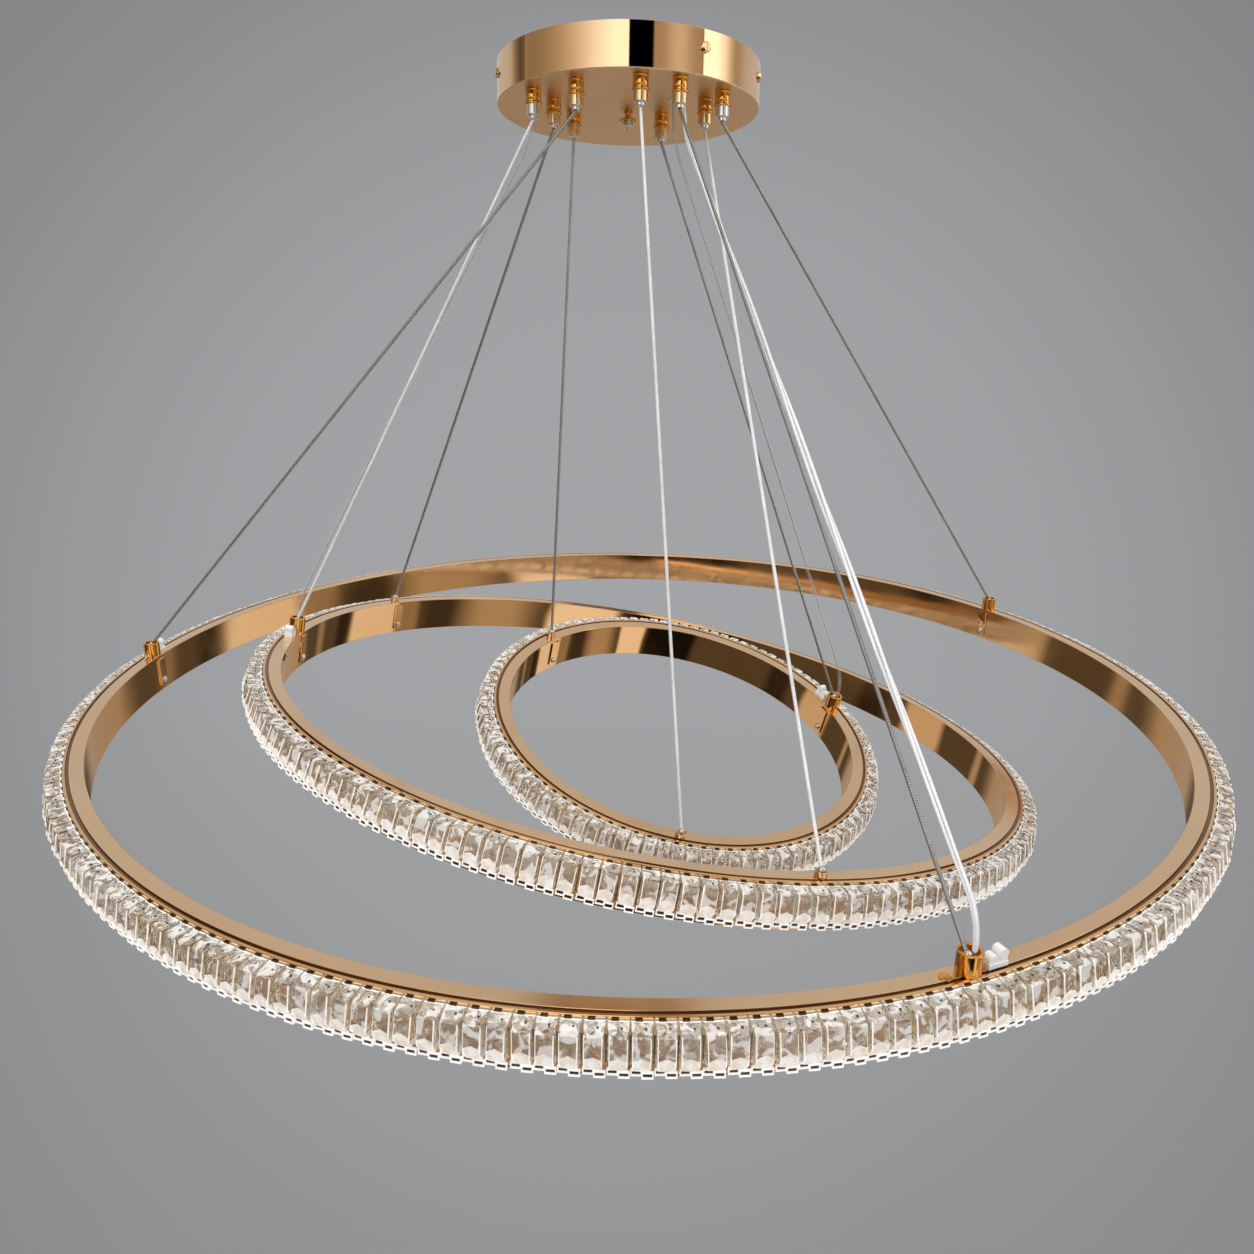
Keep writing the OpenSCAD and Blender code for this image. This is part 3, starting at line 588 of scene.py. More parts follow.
def smooth_path(points, step):
    """A smooth curve through points, with a point about every step millimetres."""
    p = np.array(points, float)
    out = []
    for i in range(len(p) - 1):
        a, b, c, d = p[max(i - 1, 0)], p[i], p[i + 1], p[min(i + 2, len(p) - 1)]
        far = norm(c - b)
        m1 = (c - a) * far / (far + norm(b - a) + TINY)
        m2 = (d - b) * far / (norm(d - c) + far + TINY)
        count = max(1, int(round(far / step)))
        for s in range(count):
            t = s / count
            out.append((2 * t ** 3 - 3 * t ** 2 + 1) * b + (t ** 3 - 2 * t ** 2 + t) * m1
                       + (-2 * t ** 3 + 3 * t ** 2) * c + (t ** 3 - t ** 2) * m2)
    out.append(p[-1])
    return np.array(out)


def on_circle(radius, degrees, z=0.0):
    a = radians(degrees)
    return (radius * cos(a), radius * sin(a), z)


def in_post(ring, post, aside, z):
    a = radians(ring["posts"][post])
    r = ring["post_r"]
    local = Vector((r * cos(a) - aside * sin(a), r * sin(a) + aside * cos(a), z))
    return np.array(ring["place"] @ local)


def ball_at(ring, post):
    aside = -ring["lead_side"] * BALL_ASIDE if post == ring["lead_post"] else 0.0
    floor = POST_H - CUP_DEPTH if ring["tall"][post] else SEAT_H - SEAT_DEPTH
    return in_post(ring, post, aside, floor + BALL_R)


def hung(piece, key, top, bottom):
    """Ties a wire's or a lead's piece to the canopy."""
    drop = abs(top - bottom)
    keep = (drop - RINGS[key]["travel"] / MM) / drop
    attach(piece, "canopy")
    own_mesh(piece)


def power_cord(piece, line, lay, **more):
    tuple(c * MM for c in line[0])
    float(lengths_along(line)[-1]) * MM
    [tuple(c * MM for c in p) for p in line]


# Cords first: the clear power leads. The large ring's has three milky cores that part a little between its
# ends, and the other two are so clear that their two thin cores are nearly all that shows. For each kind: how
# many cores, the length of one turn, how far out they lie and how much more midway, and their radius likewise
MILKY_CORES = (3, 330.0, 0.62, 1.0, 0.78, 0.2)
DULL_CORES = (2, 2000.0, 0.72, 0.0, 0.3, 0.0)
SHEATH_STEP, SHEATH_SIDES, CORE_STEP, CORE_SIDES = 4.0, 16, 3.0, 12


def make_leads():
    for key in RINGS:
        route = LEAD_ROUTES[key]
        line = smooth_path(route, SHEATH_STEP)
        milky = key == "large"
        count, lay, out, more_out, radius, more_radius = MILKY_CORES if milky else DULL_CORES
        sheath = tube("lead_%s_sheath" % key, line, LEAD_R, SHEATH_SIDES, "clear_sheath")
        fine = smooth_path(route, CORE_STEP)
        along = lengths_along(fine)
        turn = along / lay * 2 * pi
        bow = np.sin(np.clip(along / along[-1], 0, 1) * pi) ** 0.6
        part = (out + more_out * bow)[:, None]
        thick = radius + more_radius * bow[1:-1, None]
        tangents = path_tangents(fine)
        side = np.cross(tangents, SIDE_HINT)
        side /= norm(side, axis=1)[:, None]
        up = np.cross(tangents, side)
        cores = []
        for k in range(count):
            at = (turn + 2 * pi * k / count)[:, None]
            core = (fine + part * (np.cos(at) * side + np.sin(at) * up))[1:-1]
            cores.append(swept("lead_%s_core_%d" % (key, k + 1), core, np.tile(thick, (1, CORE_SIDES)),
                               "milky_core" if milky else "dull_core"))
        for piece in [sheath] + cores:
            hung(piece, key, route[0][2], route[-1][2])
        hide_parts("lead_" + key)
        power_cord(sheath, line, "taut", with_pieces=cores)


# The wiring inside the canopy, from the lead outlets to the driver's side. Each run leaves its outlet upwards
# and bends down into the driver from in front of it
DRIVER_SIDE_Y, DRIVER_OUTLET_Z = CANOPY_R * 0.5 - 17.4, DECK_Z + 9.0
DRIVER_OUTLETS = {"large": 0.0, "medium": -12.0, "small": 12.0}
RUN_START, RUN_BEND, RUN_IN, RUN_STEPS = (0, 0, 0.02), (0, 0, 22.0), (0, -46.0, 9.0), 30


def make_wiring():
    for key, outlet in DRIVER_OUTLETS.items():
        a = Vector(LEAD_ROUTES[key][0]) + Vector(RUN_START)
        d = Vector((outlet, DRIVER_SIDE_Y, DRIVER_OUTLET_Z))
        b, c = a + Vector(RUN_BEND), d + Vector(RUN_IN)
        line = []
        for i in range(RUN_STEPS + 1):
            t = i / RUN_STEPS
            line.append(tuple(a * (1 - t) ** 3 + b * 3 * t * (1 - t) ** 2
                              + c * 3 * t * t * (1 - t) + d * t ** 3))
        run = tube("wiring_%s" % key, line, LEAD_R, SHEATH_SIDES, "white_plastic")
        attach(run, "canopy")
        if key == "large":
            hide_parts("inner_wiring")
        power_cord(run, line, "loose")


# Suspension wires: seven strands laid round a core. Three of them take a paler steel finish, a painted sheen
PAINTED_SHEEN_WIRES = (("medium", "left"), ("medium", "front"), ("small", "front"))
STRANDS, STRAND_LAY, WIRE_STEP = 7, 10.0, 0.6
# A wire starts just under its ball's surface, at this share of the radius
WIRE_IN_BALL = 0.96
# How high over the gland's mouth the points of a wire's hidden end are
WIRE_IN_GLAND = (1.5, 6, 14, 24, 33)


def make_wires():
    for key, ring in RINGS.items():
        for post, (where, gland) in enumerate(ring["wires"].items()):
            top = np.array([*GLANDS[gland], GLAND_MOUTH])
            ball = ball_at(ring, post)
            way = (top - ball) / norm(top - ball)
            low = ball + way * (BALL_R * WIRE_IN_BALL)
            far = norm(top - low)
            count = int(far / WIRE_STEP)
            line = [low + way * far * i / count for i in range(count + 1)]
            line = np.array(line + [top + np.array([0, 0, h]) for h in WIRE_IN_GLAND])
            spots = 3 * STRANDS
            lobes = 0.93 + 0.07 * np.abs(np.cos(STRANDS / 2 * np.arange(spots) * 2 * pi / spots))
            finish = "bright_rope" if (key, where) in PAINTED_SHEEN_WIRES else "steel_rope"
            section = np.tile(lobes * WIRE_R, (len(line), 1))
            wire = swept("wire_%s_%s_strands" % (key, where), line, section, finish,
                         twist=lengths_along(line) / STRAND_LAY * 2 * pi)
            hung(wire, key, GLAND_MOUTH, low[2])
            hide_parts("wire_%s_%s" % (key, where))


make_leads()
make_wiring()
make_wires()


# Geometry Nodes
def node_tree(name, sockets):
    """A new tree, what it is given, and a call that adds a node and feeds it links or plain values."""
    tree = bpy.data.node_groups.new(name, "GeometryNodeTree")
    tree.interface.new_socket("Geometry", in_out="INPUT", socket_type="NodeSocketGeometry")
    for label, kind in sockets:
        tree.interface.new_socket(label, in_out="INPUT", socket_type=kind)
    tree.interface.new_socket("Geometry", in_out="OUTPUT", socket_type="NodeSocketGeometry")

    def node(kind, feeds=None, **settings):
        n = tree.nodes.new(kind)
        for key, value in settings.items():
            setattr(n, key, value)
        for at, value in (feeds or {}).items():
            if isinstance(value, bpy.types.NodeSocket):
                tree.links.new(value, n.inputs[at])
            else:
                n.inputs[at].default_value = value
        return n

    return tree, node("NodeGroupInput").outputs, node


def coated(node, placed, finish):
    """Makes the placed copies real and gives them their finish."""
    real = node("GeometryNodeRealizeInstances", {0: placed.outputs[0]})
    return node("GeometryNodeSetMaterial", {"Geometry": real.outputs[0], "Material": finish}).outputs[0]


def round_row_tree():
    """Repeats a piece all round a circle, each a little turned and scaled by chance."""
    tree, given, node = node_tree("round_row", [
        ("Count", "NodeSocketInt"), ("Radius", "NodeSocketFloat"), ("Turn scatter", "NodeSocketFloat"),
        ("Size scatter", "NodeSocketFloat"), ("Seed", "NodeSocketInt"), ("Finish", "NodeSocketMaterial"),
        ("Painted glint finish", "NodeSocketMaterial")])

    def maths(kind, a, b):
        return node("ShaderNodeMath", {0: a, 1: b}, operation=kind).outputs[0]

    def chance(low, high, seed):
        return node("FunctionNodeRandomValue", {2: low, 3: high, "Seed": seed}, data_type="FLOAT").outputs[1]

    circle = node("GeometryNodeMeshCircle", {"Vertices": given["Count"], "Radius": given["Radius"]},
                  fill_type="NONE")
    index = node("GeometryNodeInputIndex")
    angle = maths("MULTIPLY", index.outputs[0], maths("DIVIDE", 2 * pi, given["Count"]))
    flip = maths("MULTIPLY", given["Turn scatter"], -1.0)
    scatter = [chance(flip, given["Turn scatter"], maths("ADD", given["Seed"], salt)) for salt in (0, 11, 23)]
    euler = node("ShaderNodeCombineXYZ", {0: scatter[0], 1: scatter[1], 2: maths("ADD", angle, scatter[2])})
    size = chance(maths("SUBTRACT", 1.0, given["Size scatter"]), 1.0, given["Seed"])
    placed = node("GeometryNodeInstanceOnPoints", {"Points": circle.outputs[0], "Instance": given["Geometry"],
                                                   "Rotation": euler.outputs[0], "Scale": size})
    # The faces marked for it take the second finish, a painted glint
    mark = node("GeometryNodeInputNamedAttribute", {"Name": "bright"}, data_type="BOOLEAN")
    second = node("GeometryNodeSetMaterial", {
        "Geometry": coated(node, placed, given["Finish"]), "Selection": mark.outputs["Attribute"],
        "Material": given["Painted glint finish"]})
    node("NodeGroupOutput", {0: second.outputs[0]})
    return tree


def set_out_tree():
    """Puts a piece on each point of a mesh, turned as the point's turn attribute says."""
    tree, given, node = node_tree("set_out", [("Piece", "NodeSocketObject"),
                                              ("Finish", "NodeSocketMaterial")])
    turn = node("GeometryNodeInputNamedAttribute", {"Name": "turn"}, data_type="FLOAT_VECTOR")
    piece = node("GeometryNodeObjectInfo", {"Object": given["Piece"]})
    placed = node("GeometryNodeInstanceOnPoints", {
        "Points": given["Geometry"], "Instance": piece.outputs["Geometry"],
        "Rotation": turn.outputs["Attribute"]})
    node("NodeGroupOutput", {0: coated(node, placed, given["Finish"])})
    return tree


ROUND_ROW = round_row_tree()
SET_OUT = set_out_tree()


def run_tree(holder, tree, name, values, place=None):
    """Runs a tree on a holder. The result is a plain mesh of its own, and the holder goes."""
    step = holder.modifiers.new("rule", "NODES")
    step.node_group = tree
    for label, value in values.items():
        socket = next(i for i in tree.interface.items_tree if i.name == label and i.in_out == "INPUT")
        step[socket.identifier] = value
    bpy.context.view_layer.update()
    graph = bpy.context.evaluated_depsgraph_get()
    mesh = bpy.data.meshes.new_from_object(holder.evaluated_get(graph), depsgraph=graph)
    mesh.name = name
    mesh.transform(metres(place) if place else Matrix.Identity(4))
    drop(holder)
    return stood(name, mesh)


def metres(matrix):
    """A placing in millimetres turned into one for a mesh in metres."""
    m = matrix.copy()
    m.translation = m.translation * MM
    return m


def drop(*objects):
    for o in objects:
        mesh = o.data
        bpy.data.objects.remove(o)
        if mesh.users == 0:
            bpy.data.meshes.remove(mesh)


def round_row(name, shape, count, radius, finish, place, turn=0.0, size=0.0, seed=1):
    """Copies of a shape all round a circle. The first lies half a step on. The shape isn't kept."""
    half_step = Matrix.Rotation(pi / count, 4, "Z")
    return run_tree(shape, ROUND_ROW, name, {
        "Count": count, "Radius": radius * MM, "Turn scatter": turn, "Size scatter": size, "Seed": seed,
        "Finish": FINISHES[finish], "Painted glint finish": FINISHES["cut_facet"]}, place @ half_step)


def set_out(name, shape, places, finish, place=None):
    """Copies of a shape at places, each (point in mm, (turn x, turn y, turn z) in degrees). The caller drops
    the shape."""
    mesh = bpy.data.meshes.new(name + "_points")
    mesh.from_pydata([tuple(c * MM for c in p) for p, _ in places], [], [])
    turn = mesh.attributes.new("turn", "FLOAT_VECTOR", "POINT")
    turn.data.foreach_set("vector", [radians(a) for _, t in places for a in t])
    holder = stood(name + "_points", mesh)
    return run_tree(holder, SET_OUT, name, {"Piece": shape, "Finish": FINISHES[finish]}, place)


def finished(piece, body, slot, *nodes):
    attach(piece, body)
    if nodes:
        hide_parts(*nodes)
    return piece


# Canopy
def make_canopy():
    r, z = CANOPY_R, UNDER_Z
    wall = r - 1.2
    outline = [(0, z), (r - 2.2, z), (r - 1.9, z), (r, z, 0.9), (r, 0, 0.3), (wall, 0, 0.3),
               (wall, z + 1.2, 0.6), (0, z + 1.2)]

    def zone(radius, height):
        if height <= z + 0.05 and radius < r - 2:
            return 1
        # The rounded bottom edge takes a paler gold: a painted highlight
        if radius > r - 2 and height < z + 0.8:
            return 3
        if radius < r - 1.1 and height > z + 0.5:
            return 2
        return 0

    drum = turned("canopy_drum", outline, 256, ["drum_mirror", "drum_satin", "drum_inside", "rim_gold"], zone)
    finished(drum, "canopy", "canopy_gold", "canopy_shell")


def make_glands():
    bore = WIRE_R + 0.05
    barrel = [(bore, -8.8), (3.2, -8.8), (3.2, -10.5), (6.0, -10.5, 0.1), (6.5, -10.1, 0.3),
              (6.5, -9.4, 0.3), (6.0, -9.0, 0.1), (5.55, -8.6), (5.6, -7.9), (5.5, -7.7),
              (5.5, -7.4), (5.6, -7.2), (5.6, -1.9), (5.5, -1.7), (5.5, -1.4), (5.6, -1.2),
              (5.6, 0, 0.2), (4.0, 0), (4.0, 8.2, 0.4), (bore, 8.2)]
    nose = [(4.3, -17.7, 0.1), (5.15, -17.7, 0.15), (5.15, -10.5), (4.3, -10.5)]
    rim = [(3.45, -18.0, 0.1), (4.75, -18.0, 0.2), (4.75, -17.7), (4.3, -17.7), (4.3, -17.0),
           (3.45, -17.0)]
    gold = turned("gland_shape", moved(barrel, UNDER_Z), 40, ["deep_gold"])
    nose = turned("nose_shape", moved(nose, UNDER_Z), 40, ["pale_gold"])
    rim = turned("rim_shape", moved(rim, UNDER_Z), 32, ["nickel"])
    places = [((x, y, 0), (0, 0, 20.0 * i)) for i, (x, y) in enumerate(GLANDS)]
    silver = [places[i] for i in SILVER_GLANDS]
    golden = [p for i, p in enumerate(places) if i not in SILVER_GLANDS]
    finished(set_out("gland_barrels", gold, places, "deep_gold"), "canopy", "gland_gold", "gland_bodies")
    finished(set_out("gland_noses", nose, golden, "pale_gold"), "canopy", "gland_gold")
    finished(set_out("gland_noses_silver", nose, silver, "nickel"), "canopy", "bright_steel")
    finished(set_out("gland_rims", rim, places, "nickel"), "canopy", "bright_steel")
    drop(gold, nose, rim)
    bore = WIRE_R + 0.35
    sleeve = [(bore, 0, 0.2), (3.3, 0, 0.5), (3.3, 4.1), (4.0, 4.1), (4.0, 5.6, 0.2), (2.7, 5.6),
              (2.7, 8.6, 0.2), (bore, 8.6)]
    for i, (x, y) in enumerate(GLANDS, 1):
        plunger = turned("plunger_%d_sleeve" % i, moved(sleeve, GLAND_MOUTH), 28, ["nickel"],
                         place=Matrix.Translation((x, y, 0)))
        finished(plunger, "plunger_body_%d" % i, "bright_steel", "plunger_%d" % i)


def make_finial():
    gold = [(0, -7.3), (4.0, -7.5), (6.2, -7.3, 0.2), (6.6, -6.8, 0.2), (6.6, -6.2, 0.3),
            (5.6, -5.4, 0.5), (2.6, -5.0, 0.5), (2.2, -3.6), (2.6, -1.2, 0.3), (3.6, -0.8, 0.2),
            (3.6, 0), (2.5, 0), (2.5, 7.2), (0, 7.2)]
    tip = [(0, -14.5), (0.35, -14.4), (0.7, -13.6), (1.5, -11.7, 0.4), (2.4, -10.9, 0.2),
           (3.8, -10.6, 0.3), (4.2, -9.9, 0.2), (4.2, -7.5), (0, -7.5)]
    finished(turned("finial_stem", moved(gold, UNDER_Z), 48, ["deep_gold"]), "canopy", "canopy_gold",
             "finial")
    finished(turned("finial_tip", moved(tip, UNDER_Z), 40, ["nickel"]), "canopy", "bright_steel")


make_canopy()
make_glands()
make_finial()


# Rings. From the top face's outer edge: the lip, the groove beside it, and the opal band under them
LIP_W, GROOVE_IN, GROOVE_Z = 1.7, 4.0, -1.0
BAND_BACK, BAND_TOP = 3.3, -1.7
STRIP_T, STRIP_LOW, STRIP_HIGH = 0.5, -19, -9
SHELF_OUT, SHELF_T = 7.0, 1.4
BLOCK_SCATTER, CLIP_SCATTER, CLIP_SEED = (radians(1.6), 0.015), (radians(0.8), 0.01), 3


def ring_outline(ro, ri):
    inside, shelf = ri + WALL_T, ro + SHELF_OUT
    return [
        (ri, -WALL_H, 0.35), (inside, -WALL_H, 0.35), (inside, CRYSTAL_BOTTOM - SHELF_T),
        (shelf, CRYSTAL_BOTTOM - SHELF_T, 0.4), (shelf, CRYSTAL_BOTTOM, 0.4), (inside, CRYSTAL_BOTTOM),
        (inside, -TOP_T), (ro, -TOP_T, 0.3), (ro, 0, 0.35), (ro - LIP_W, 0, 0.3), (ro - 2.0, GROOVE_Z, 0.1),
        (ro - 3.6, GROOVE_Z, 0.1), (ro - GROOVE_IN, 0, 0.25), (ri, 0, 0.5)]


def make_ring(key, ring):
    ro, ri, place, count = ring["top_r"], ring["wall_r"], ring["place"], ring["crystals"]
    body = key + "_ring"

    def zone(radius, height):
        # The groove beside the lip takes a near-black bronze, painted shade
        if ro - GROOVE_IN < radius < ro - LIP_W and GROOVE_Z - 0.1 < height < -0.3:
            return 2
        return 1 if height > -0.05 and ri + 0.45 < radius < ro - GROOVE_IN else 0

    rail = turned(key + "_rail", ring_outline(ro, ri), ring["steps"],
                  [ring["wall"], "ring_top", "groove_bronze"], zone, place)
    finished(rail, body, "ring_gold", key + "_ring_frame")

    back, front = ri + WALL_T, ri + WALL_T + STRIP_T
    outline = [(back, STRIP_LOW, 0.1), (front, STRIP_LOW, 0.1), (front, STRIP_HIGH, 0.1),
               (back, STRIP_HIGH, 0.1)]
    strip = turned(key + "_strip", outline, 180, ["strip_white"], None, place, 1)
    finished(strip, body, "led_strip", key + "_led_strip")
    chip = new_piece("chip_shape", *chip_mesh(), ["chip_yellow"])
    finished(round_row(key + "_chips", chip, count // 2, front, "chip_yellow", place), body, "led_strip")

    back, front = ro - BAND_BACK, ro - LIP_W
    outline = [(back, CRYSTAL_BOTTOM), (front, CRYSTAL_BOTTOM), (front, BAND_TOP), (back, BAND_TOP)]
    band = turned(key + "_opal_band", outline, 240, ["opal"], None, place)
    finished(band, body, "frosted_band", key + "_diffuser")

    row = round_row(key + "_crystals", cut_block("crystal_shape", ring), count, ro, "crystal", place,
                    *BLOCK_SCATTER, ring["seed"])
    finished(row, body, "crystal", key + "_crystals_row")

    # Under each block two glass eyes a little apart in height, and the clips that hold them: their near-black
    # colour is painted shade in the eyes' holes and under the lip
    left, right, wire = -2.5, 2.6, 0.62
    eyes = joined_mesh(aside(loop_mesh(8.9, 10.3, 5.2, -23.6, -20.2, wire), left),
                       aside(loop_mesh(9.3, 10.7, 5.4, -24.9, -21.4, wire), right))
    clips = joined_mesh(aside(box_mesh(8.2, 9.5, 4.5, -23.2, -20.6), left),
                        aside(box_mesh(8.6, 9.9, 4.7, -24.5, -21.8), right),
                        aside(box_mesh(0.15, 0.9, 3.4, -1.9, -1.0), -1.6),
                        aside(box_mesh(4.6, 5.6, 0.9, -3.2, -2.1), 1.5))
    # Gold ribs of the carrier, seen in the joints between the blocks
    ribs = aside(box_mesh(3.0, 8.0, 0.8, -19.6, -3.2), (ro + 5.5) * tan(pi / count))
    for label, shape, finish, slot in (("eyes", eyes, "ground_glass", "crystal"),
                                       ("clips", clips, "clip_bronze", "ring_gold"),
                                       ("ribs", ribs, "pale_gold", "ring_gold")):
        part = faceted(new_piece(label + "_shape", *shape, [finish]))
        made = round_row(key + "_crystal_" + label, part, count, ro, finish, place, *CLIP_SCATTER, CLIP_SEED)
        finished(made, body, slot)


def box_mesh(near, far, wide, low, high):
    c = [(x, y, z) for x in (near, far) for y in (-wide / 2, wide / 2) for z in (low, high)]
    return c, [(0, 1, 3, 2), (4, 6, 7, 5), (0, 4, 5, 1), (2, 3, 7, 6), (0, 2, 6, 4), (1, 5, 7, 3)]


def chip_mesh():
    """A light chip: a low body with a sunk window."""
    c, f = box_mesh(0.0, 0.6, 2.8, -15.4, -11.9)
    w = [(0.6, y, z) for y in (-0.9, 0.9) for z in (-14.8, -12.5)]
    s = [(0.45, y * 0.9, z) for _, y, z in w]
    n = len(c)
    f = [q for q in f if q != (4, 6, 7, 5)]
    f += [(4, 6, n + 2, n), (6, 7, n + 3, n + 2), (7, 5, n + 1, n + 3), (5, 4, n, n + 1)]
    f += [(n, n + 2, n + 6, n + 4), (n + 2, n + 3, n + 7, n + 6), (n + 3, n + 1, n + 5, n + 7),
          (n + 1, n, n + 4, n + 5), (n + 4, n + 6, n + 7, n + 5)]
    return c + w + s, f


def crystal_mesh(ring):
    """One cut block with a hipped back: its points, its faces, and for each face whether it takes the painted
    glint finish.
    """
    half = (ring["top_r"] - 1.5) * tan(pi / ring["crystals"]) - 0.15
    # Outlines of the block's flank and of its narrower front: how far out, height, and how much narrower
    flank = [(0.4, -2.0, 0.0), (9.4, -3.1, 0.8), (10.2, -4.0, 0.8), (13.0, -16.4, 0.9), (9.8, -20.0, 0.7),
             (0.6, -21.0, 0.0)]
    front = [(1.4, -2.0, 0.9), (10.0, -2.8, 1.3), (10.7, -3.6, 1.3), (13.5, -16.6, 1.4), (10.3, -20.5, 1.1),
             (1.4, -21.2, 0.9)]
    n = len(flank)
    points = [(-1.5, 0.0, -7.0), (-1.5, 0.0, -16.0)]
    for side in (-1, 1):
        points += [(out, side * (half - less), z) for out, z, less in flank + front]
    left, right = 2, 2 + 2 * n
    # The main facet's lower edge is a low hill, and the facets under it fan out from there
    hill = len(points)
    for share, rise, swell in ((-0.5, 2.9, 0.35), (0.0, 4.3, 0.6), (0.5, 2.9, 0.35)):
        wide = share * 2 * (half - 1.4)
        points.append((13.5 - 2.8 * rise / 13.0, wide, -16.6 + rise))
        points.append((10.3 + swell, wide, -20.5 - 0.3 * swell))
    faces = [(0, left, right), (1, right + n - 1, left + n - 1), (0, 1, left + n - 1, left),
             (0, right, right + n - 1, 1), (left, left + n, right + n, right),
             (left + n - 1, right + n - 1, right + 2 * n - 1, left + 2 * n - 1)]
    bright = [False, False, False, False, True, False]
    for s in (left, right):
        faces.append([s + i for i in range(n)])
        bright.append(False)
        for i in range(n - 1):
            faces.append((s + i, s + 1 + i, s + n + 1 + i, s + n + i))
            bright.append(i in (1, 2, 3) if s == left else i in (2, 3))
    lf, rf = left + n, right + n
    faces += [(lf, lf + 1, rf + 1, rf), (lf + 1, lf + 2, rf + 2, rf + 1),
              (lf + 2, lf + 3, hill, hill + 2, hill + 4, rf + 3, rf + 2), (lf + 3, lf + 4, hill + 1, hill),
              (hill, hill + 1, hill + 3, hill + 2), (hill + 2, hill + 3, hill + 5, hill + 4),
              (hill + 4, hill + 5, rf + 4, rf + 3),
              (lf + 4, lf + 5, rf + 5, rf + 4, hill + 5, hill + 3, hill + 1)]
    bright += [False, False, False, True, True, True, True, True]
    return points, faces, bright


def cut_block(name, ring):
    points, faces, bright = crystal_mesh(ring)
    block = faceted(new_piece(name, points, faces, ["crystal"]))
    mark = block.data.attributes.new("bright", "BOOLEAN", "FACE")
    mark.data.foreach_set("value", bright)
    return block


def joined_mesh(*shapes):
    points, faces = [], []
    for p, f in shapes:
        faces += [tuple(len(points) + i for i in face) for face in f]
        points += list(p)
    return points, faces


def aside(shape, by):
    points, faces = shape
    return [(x, y + by, z) for x, y, z in points], faces


def loop_mesh(near, far, wide, low, high, wall):
    """A rectangular eye: an outline wall thick with a hole along the radius."""
    points = []
    for x in (near, far):
        for less in (0.0, wall):
            points += [(x, -wide / 2 + less, low + less), (x, wide / 2 - less, low + less),
                       (x, wide / 2 - less, high - less), (x, -wide / 2 + less, high - less)]
    faces = []
    for k in range(4):
        q = (k + 1) % 4
        faces += [(k, q, 8 + q, 8 + k), (4 + k, 12 + k, 12 + q, 4 + q), (k, 4 + k, 4 + q, q),
                  (8 + k, 8 + q, 12 + q, 12 + k)]
    return points, faces


for key, ring in RINGS.items():
    make_ring(key, ring)


# Posts, balls, straps and plugs on the rings
STRAP_W, STRAP_H, STRAP_T, STRAP_Z, STRAP_SCREW_Z = 10.0, 24.0, 1.2, -15.0, -22.5
STRAP_CORNER, STRAP_EASE = 1.0, 0.35
# The left plug is this many degrees before its post, and the top screw this many millimetres
LEFT_PLUG_BEFORE, TOP_SCREW_BEFORE, TAIL_R = 1.75, 13.5, 0.45


def make_fittings(key, ring):
    body = key + "_ring"
    place, ri = ring["place"], ring["wall_r"]

    def fit(name, shape, spots, finish, where, slot, *nodes):
        made = finished(set_out(name, shape, spots, finish, where), body, slot, *nodes)
        drop(shape)
        return made

    foot = [(0, -2.6), (2.4, -2.6), (3.0, -1.6), (2.0, -1.6), (2.0, 0)]
    for tall, label, finish, r, h, cup, depth in (
            (True, "tall", "deep_gold", POST_R, POST_H, CUP_R, CUP_DEPTH),
            (False, "low", "ring_top", SEAT_R, SEAT_H, SEAT_CUP_R, SEAT_DEPTH)):
        spots = [(on_circle(ring["post_r"], a), (0, 0, a)) for a, kind in zip(ring["posts"], ring["tall"])
                 if kind == tall]
        if not spots:
            continue
        outline = foot + [(r, 0, 0.3), (r, h, 0.5), (cup, h, 0.35), (cup, h - depth), (0, h - depth)]
        shape = turned("post_shape", outline, 48, ["deep_gold"])
        fit("%s_%s_posts" % (key, label), shape, spots, finish, place, "post_gold")
    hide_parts(key + "_hanger_posts")

    arc = [(BALL_R * cos(radians(t)), BALL_R * sin(radians(t))) for t in range(-80, 81, 10)]
    shape = turned("ball_shape", [(0, -BALL_R)] + arc + [(0, BALL_R)], 28, ["nickel"])
    fit(key + "_balls", shape, [(tuple(ball_at(ring, j)), (0, 0, 0)) for j in range(3)], "nickel", None,
        "bright_steel", key + "_wire_balls")

    # The wall's inner face, less what it curves away over half a strap's width
    inner = ri - (ri - sqrt(ri * ri - (STRAP_W / 2) ** 2) + 0.02)
    fit(key + "_strap_row", plate_shape("strap_shape", STRAP_W, STRAP_H, STRAP_T, STRAP_CORNER, STRAP_EASE),
        [(on_circle(inner - STRAP_T / 2, a, STRAP_Z), (0, 0, a)) for a in ring["posts"]],
        "ring_mirror", place, "ring_gold", key + "_straps")

    screw = [(0, -6.4), (1.5, -6.4), (1.5, 0), (2.8, 0, 0.2), (2.7, 0.9, 0.5), (1.7, 1.9, 0.5),
             (1.0, 2.0, 0.1), (0.9, 1.2), (0, 1.2)]
    fit(key + "_screw_row", turned("screw_shape", screw, 24, ["nickel"]),
        [(on_circle(inner - STRAP_T, a, STRAP_SCREW_Z), (0, -90, a)) for a in ring["posts"]], "nickel", place,
        "bright_steel", key + "_strap_screws")


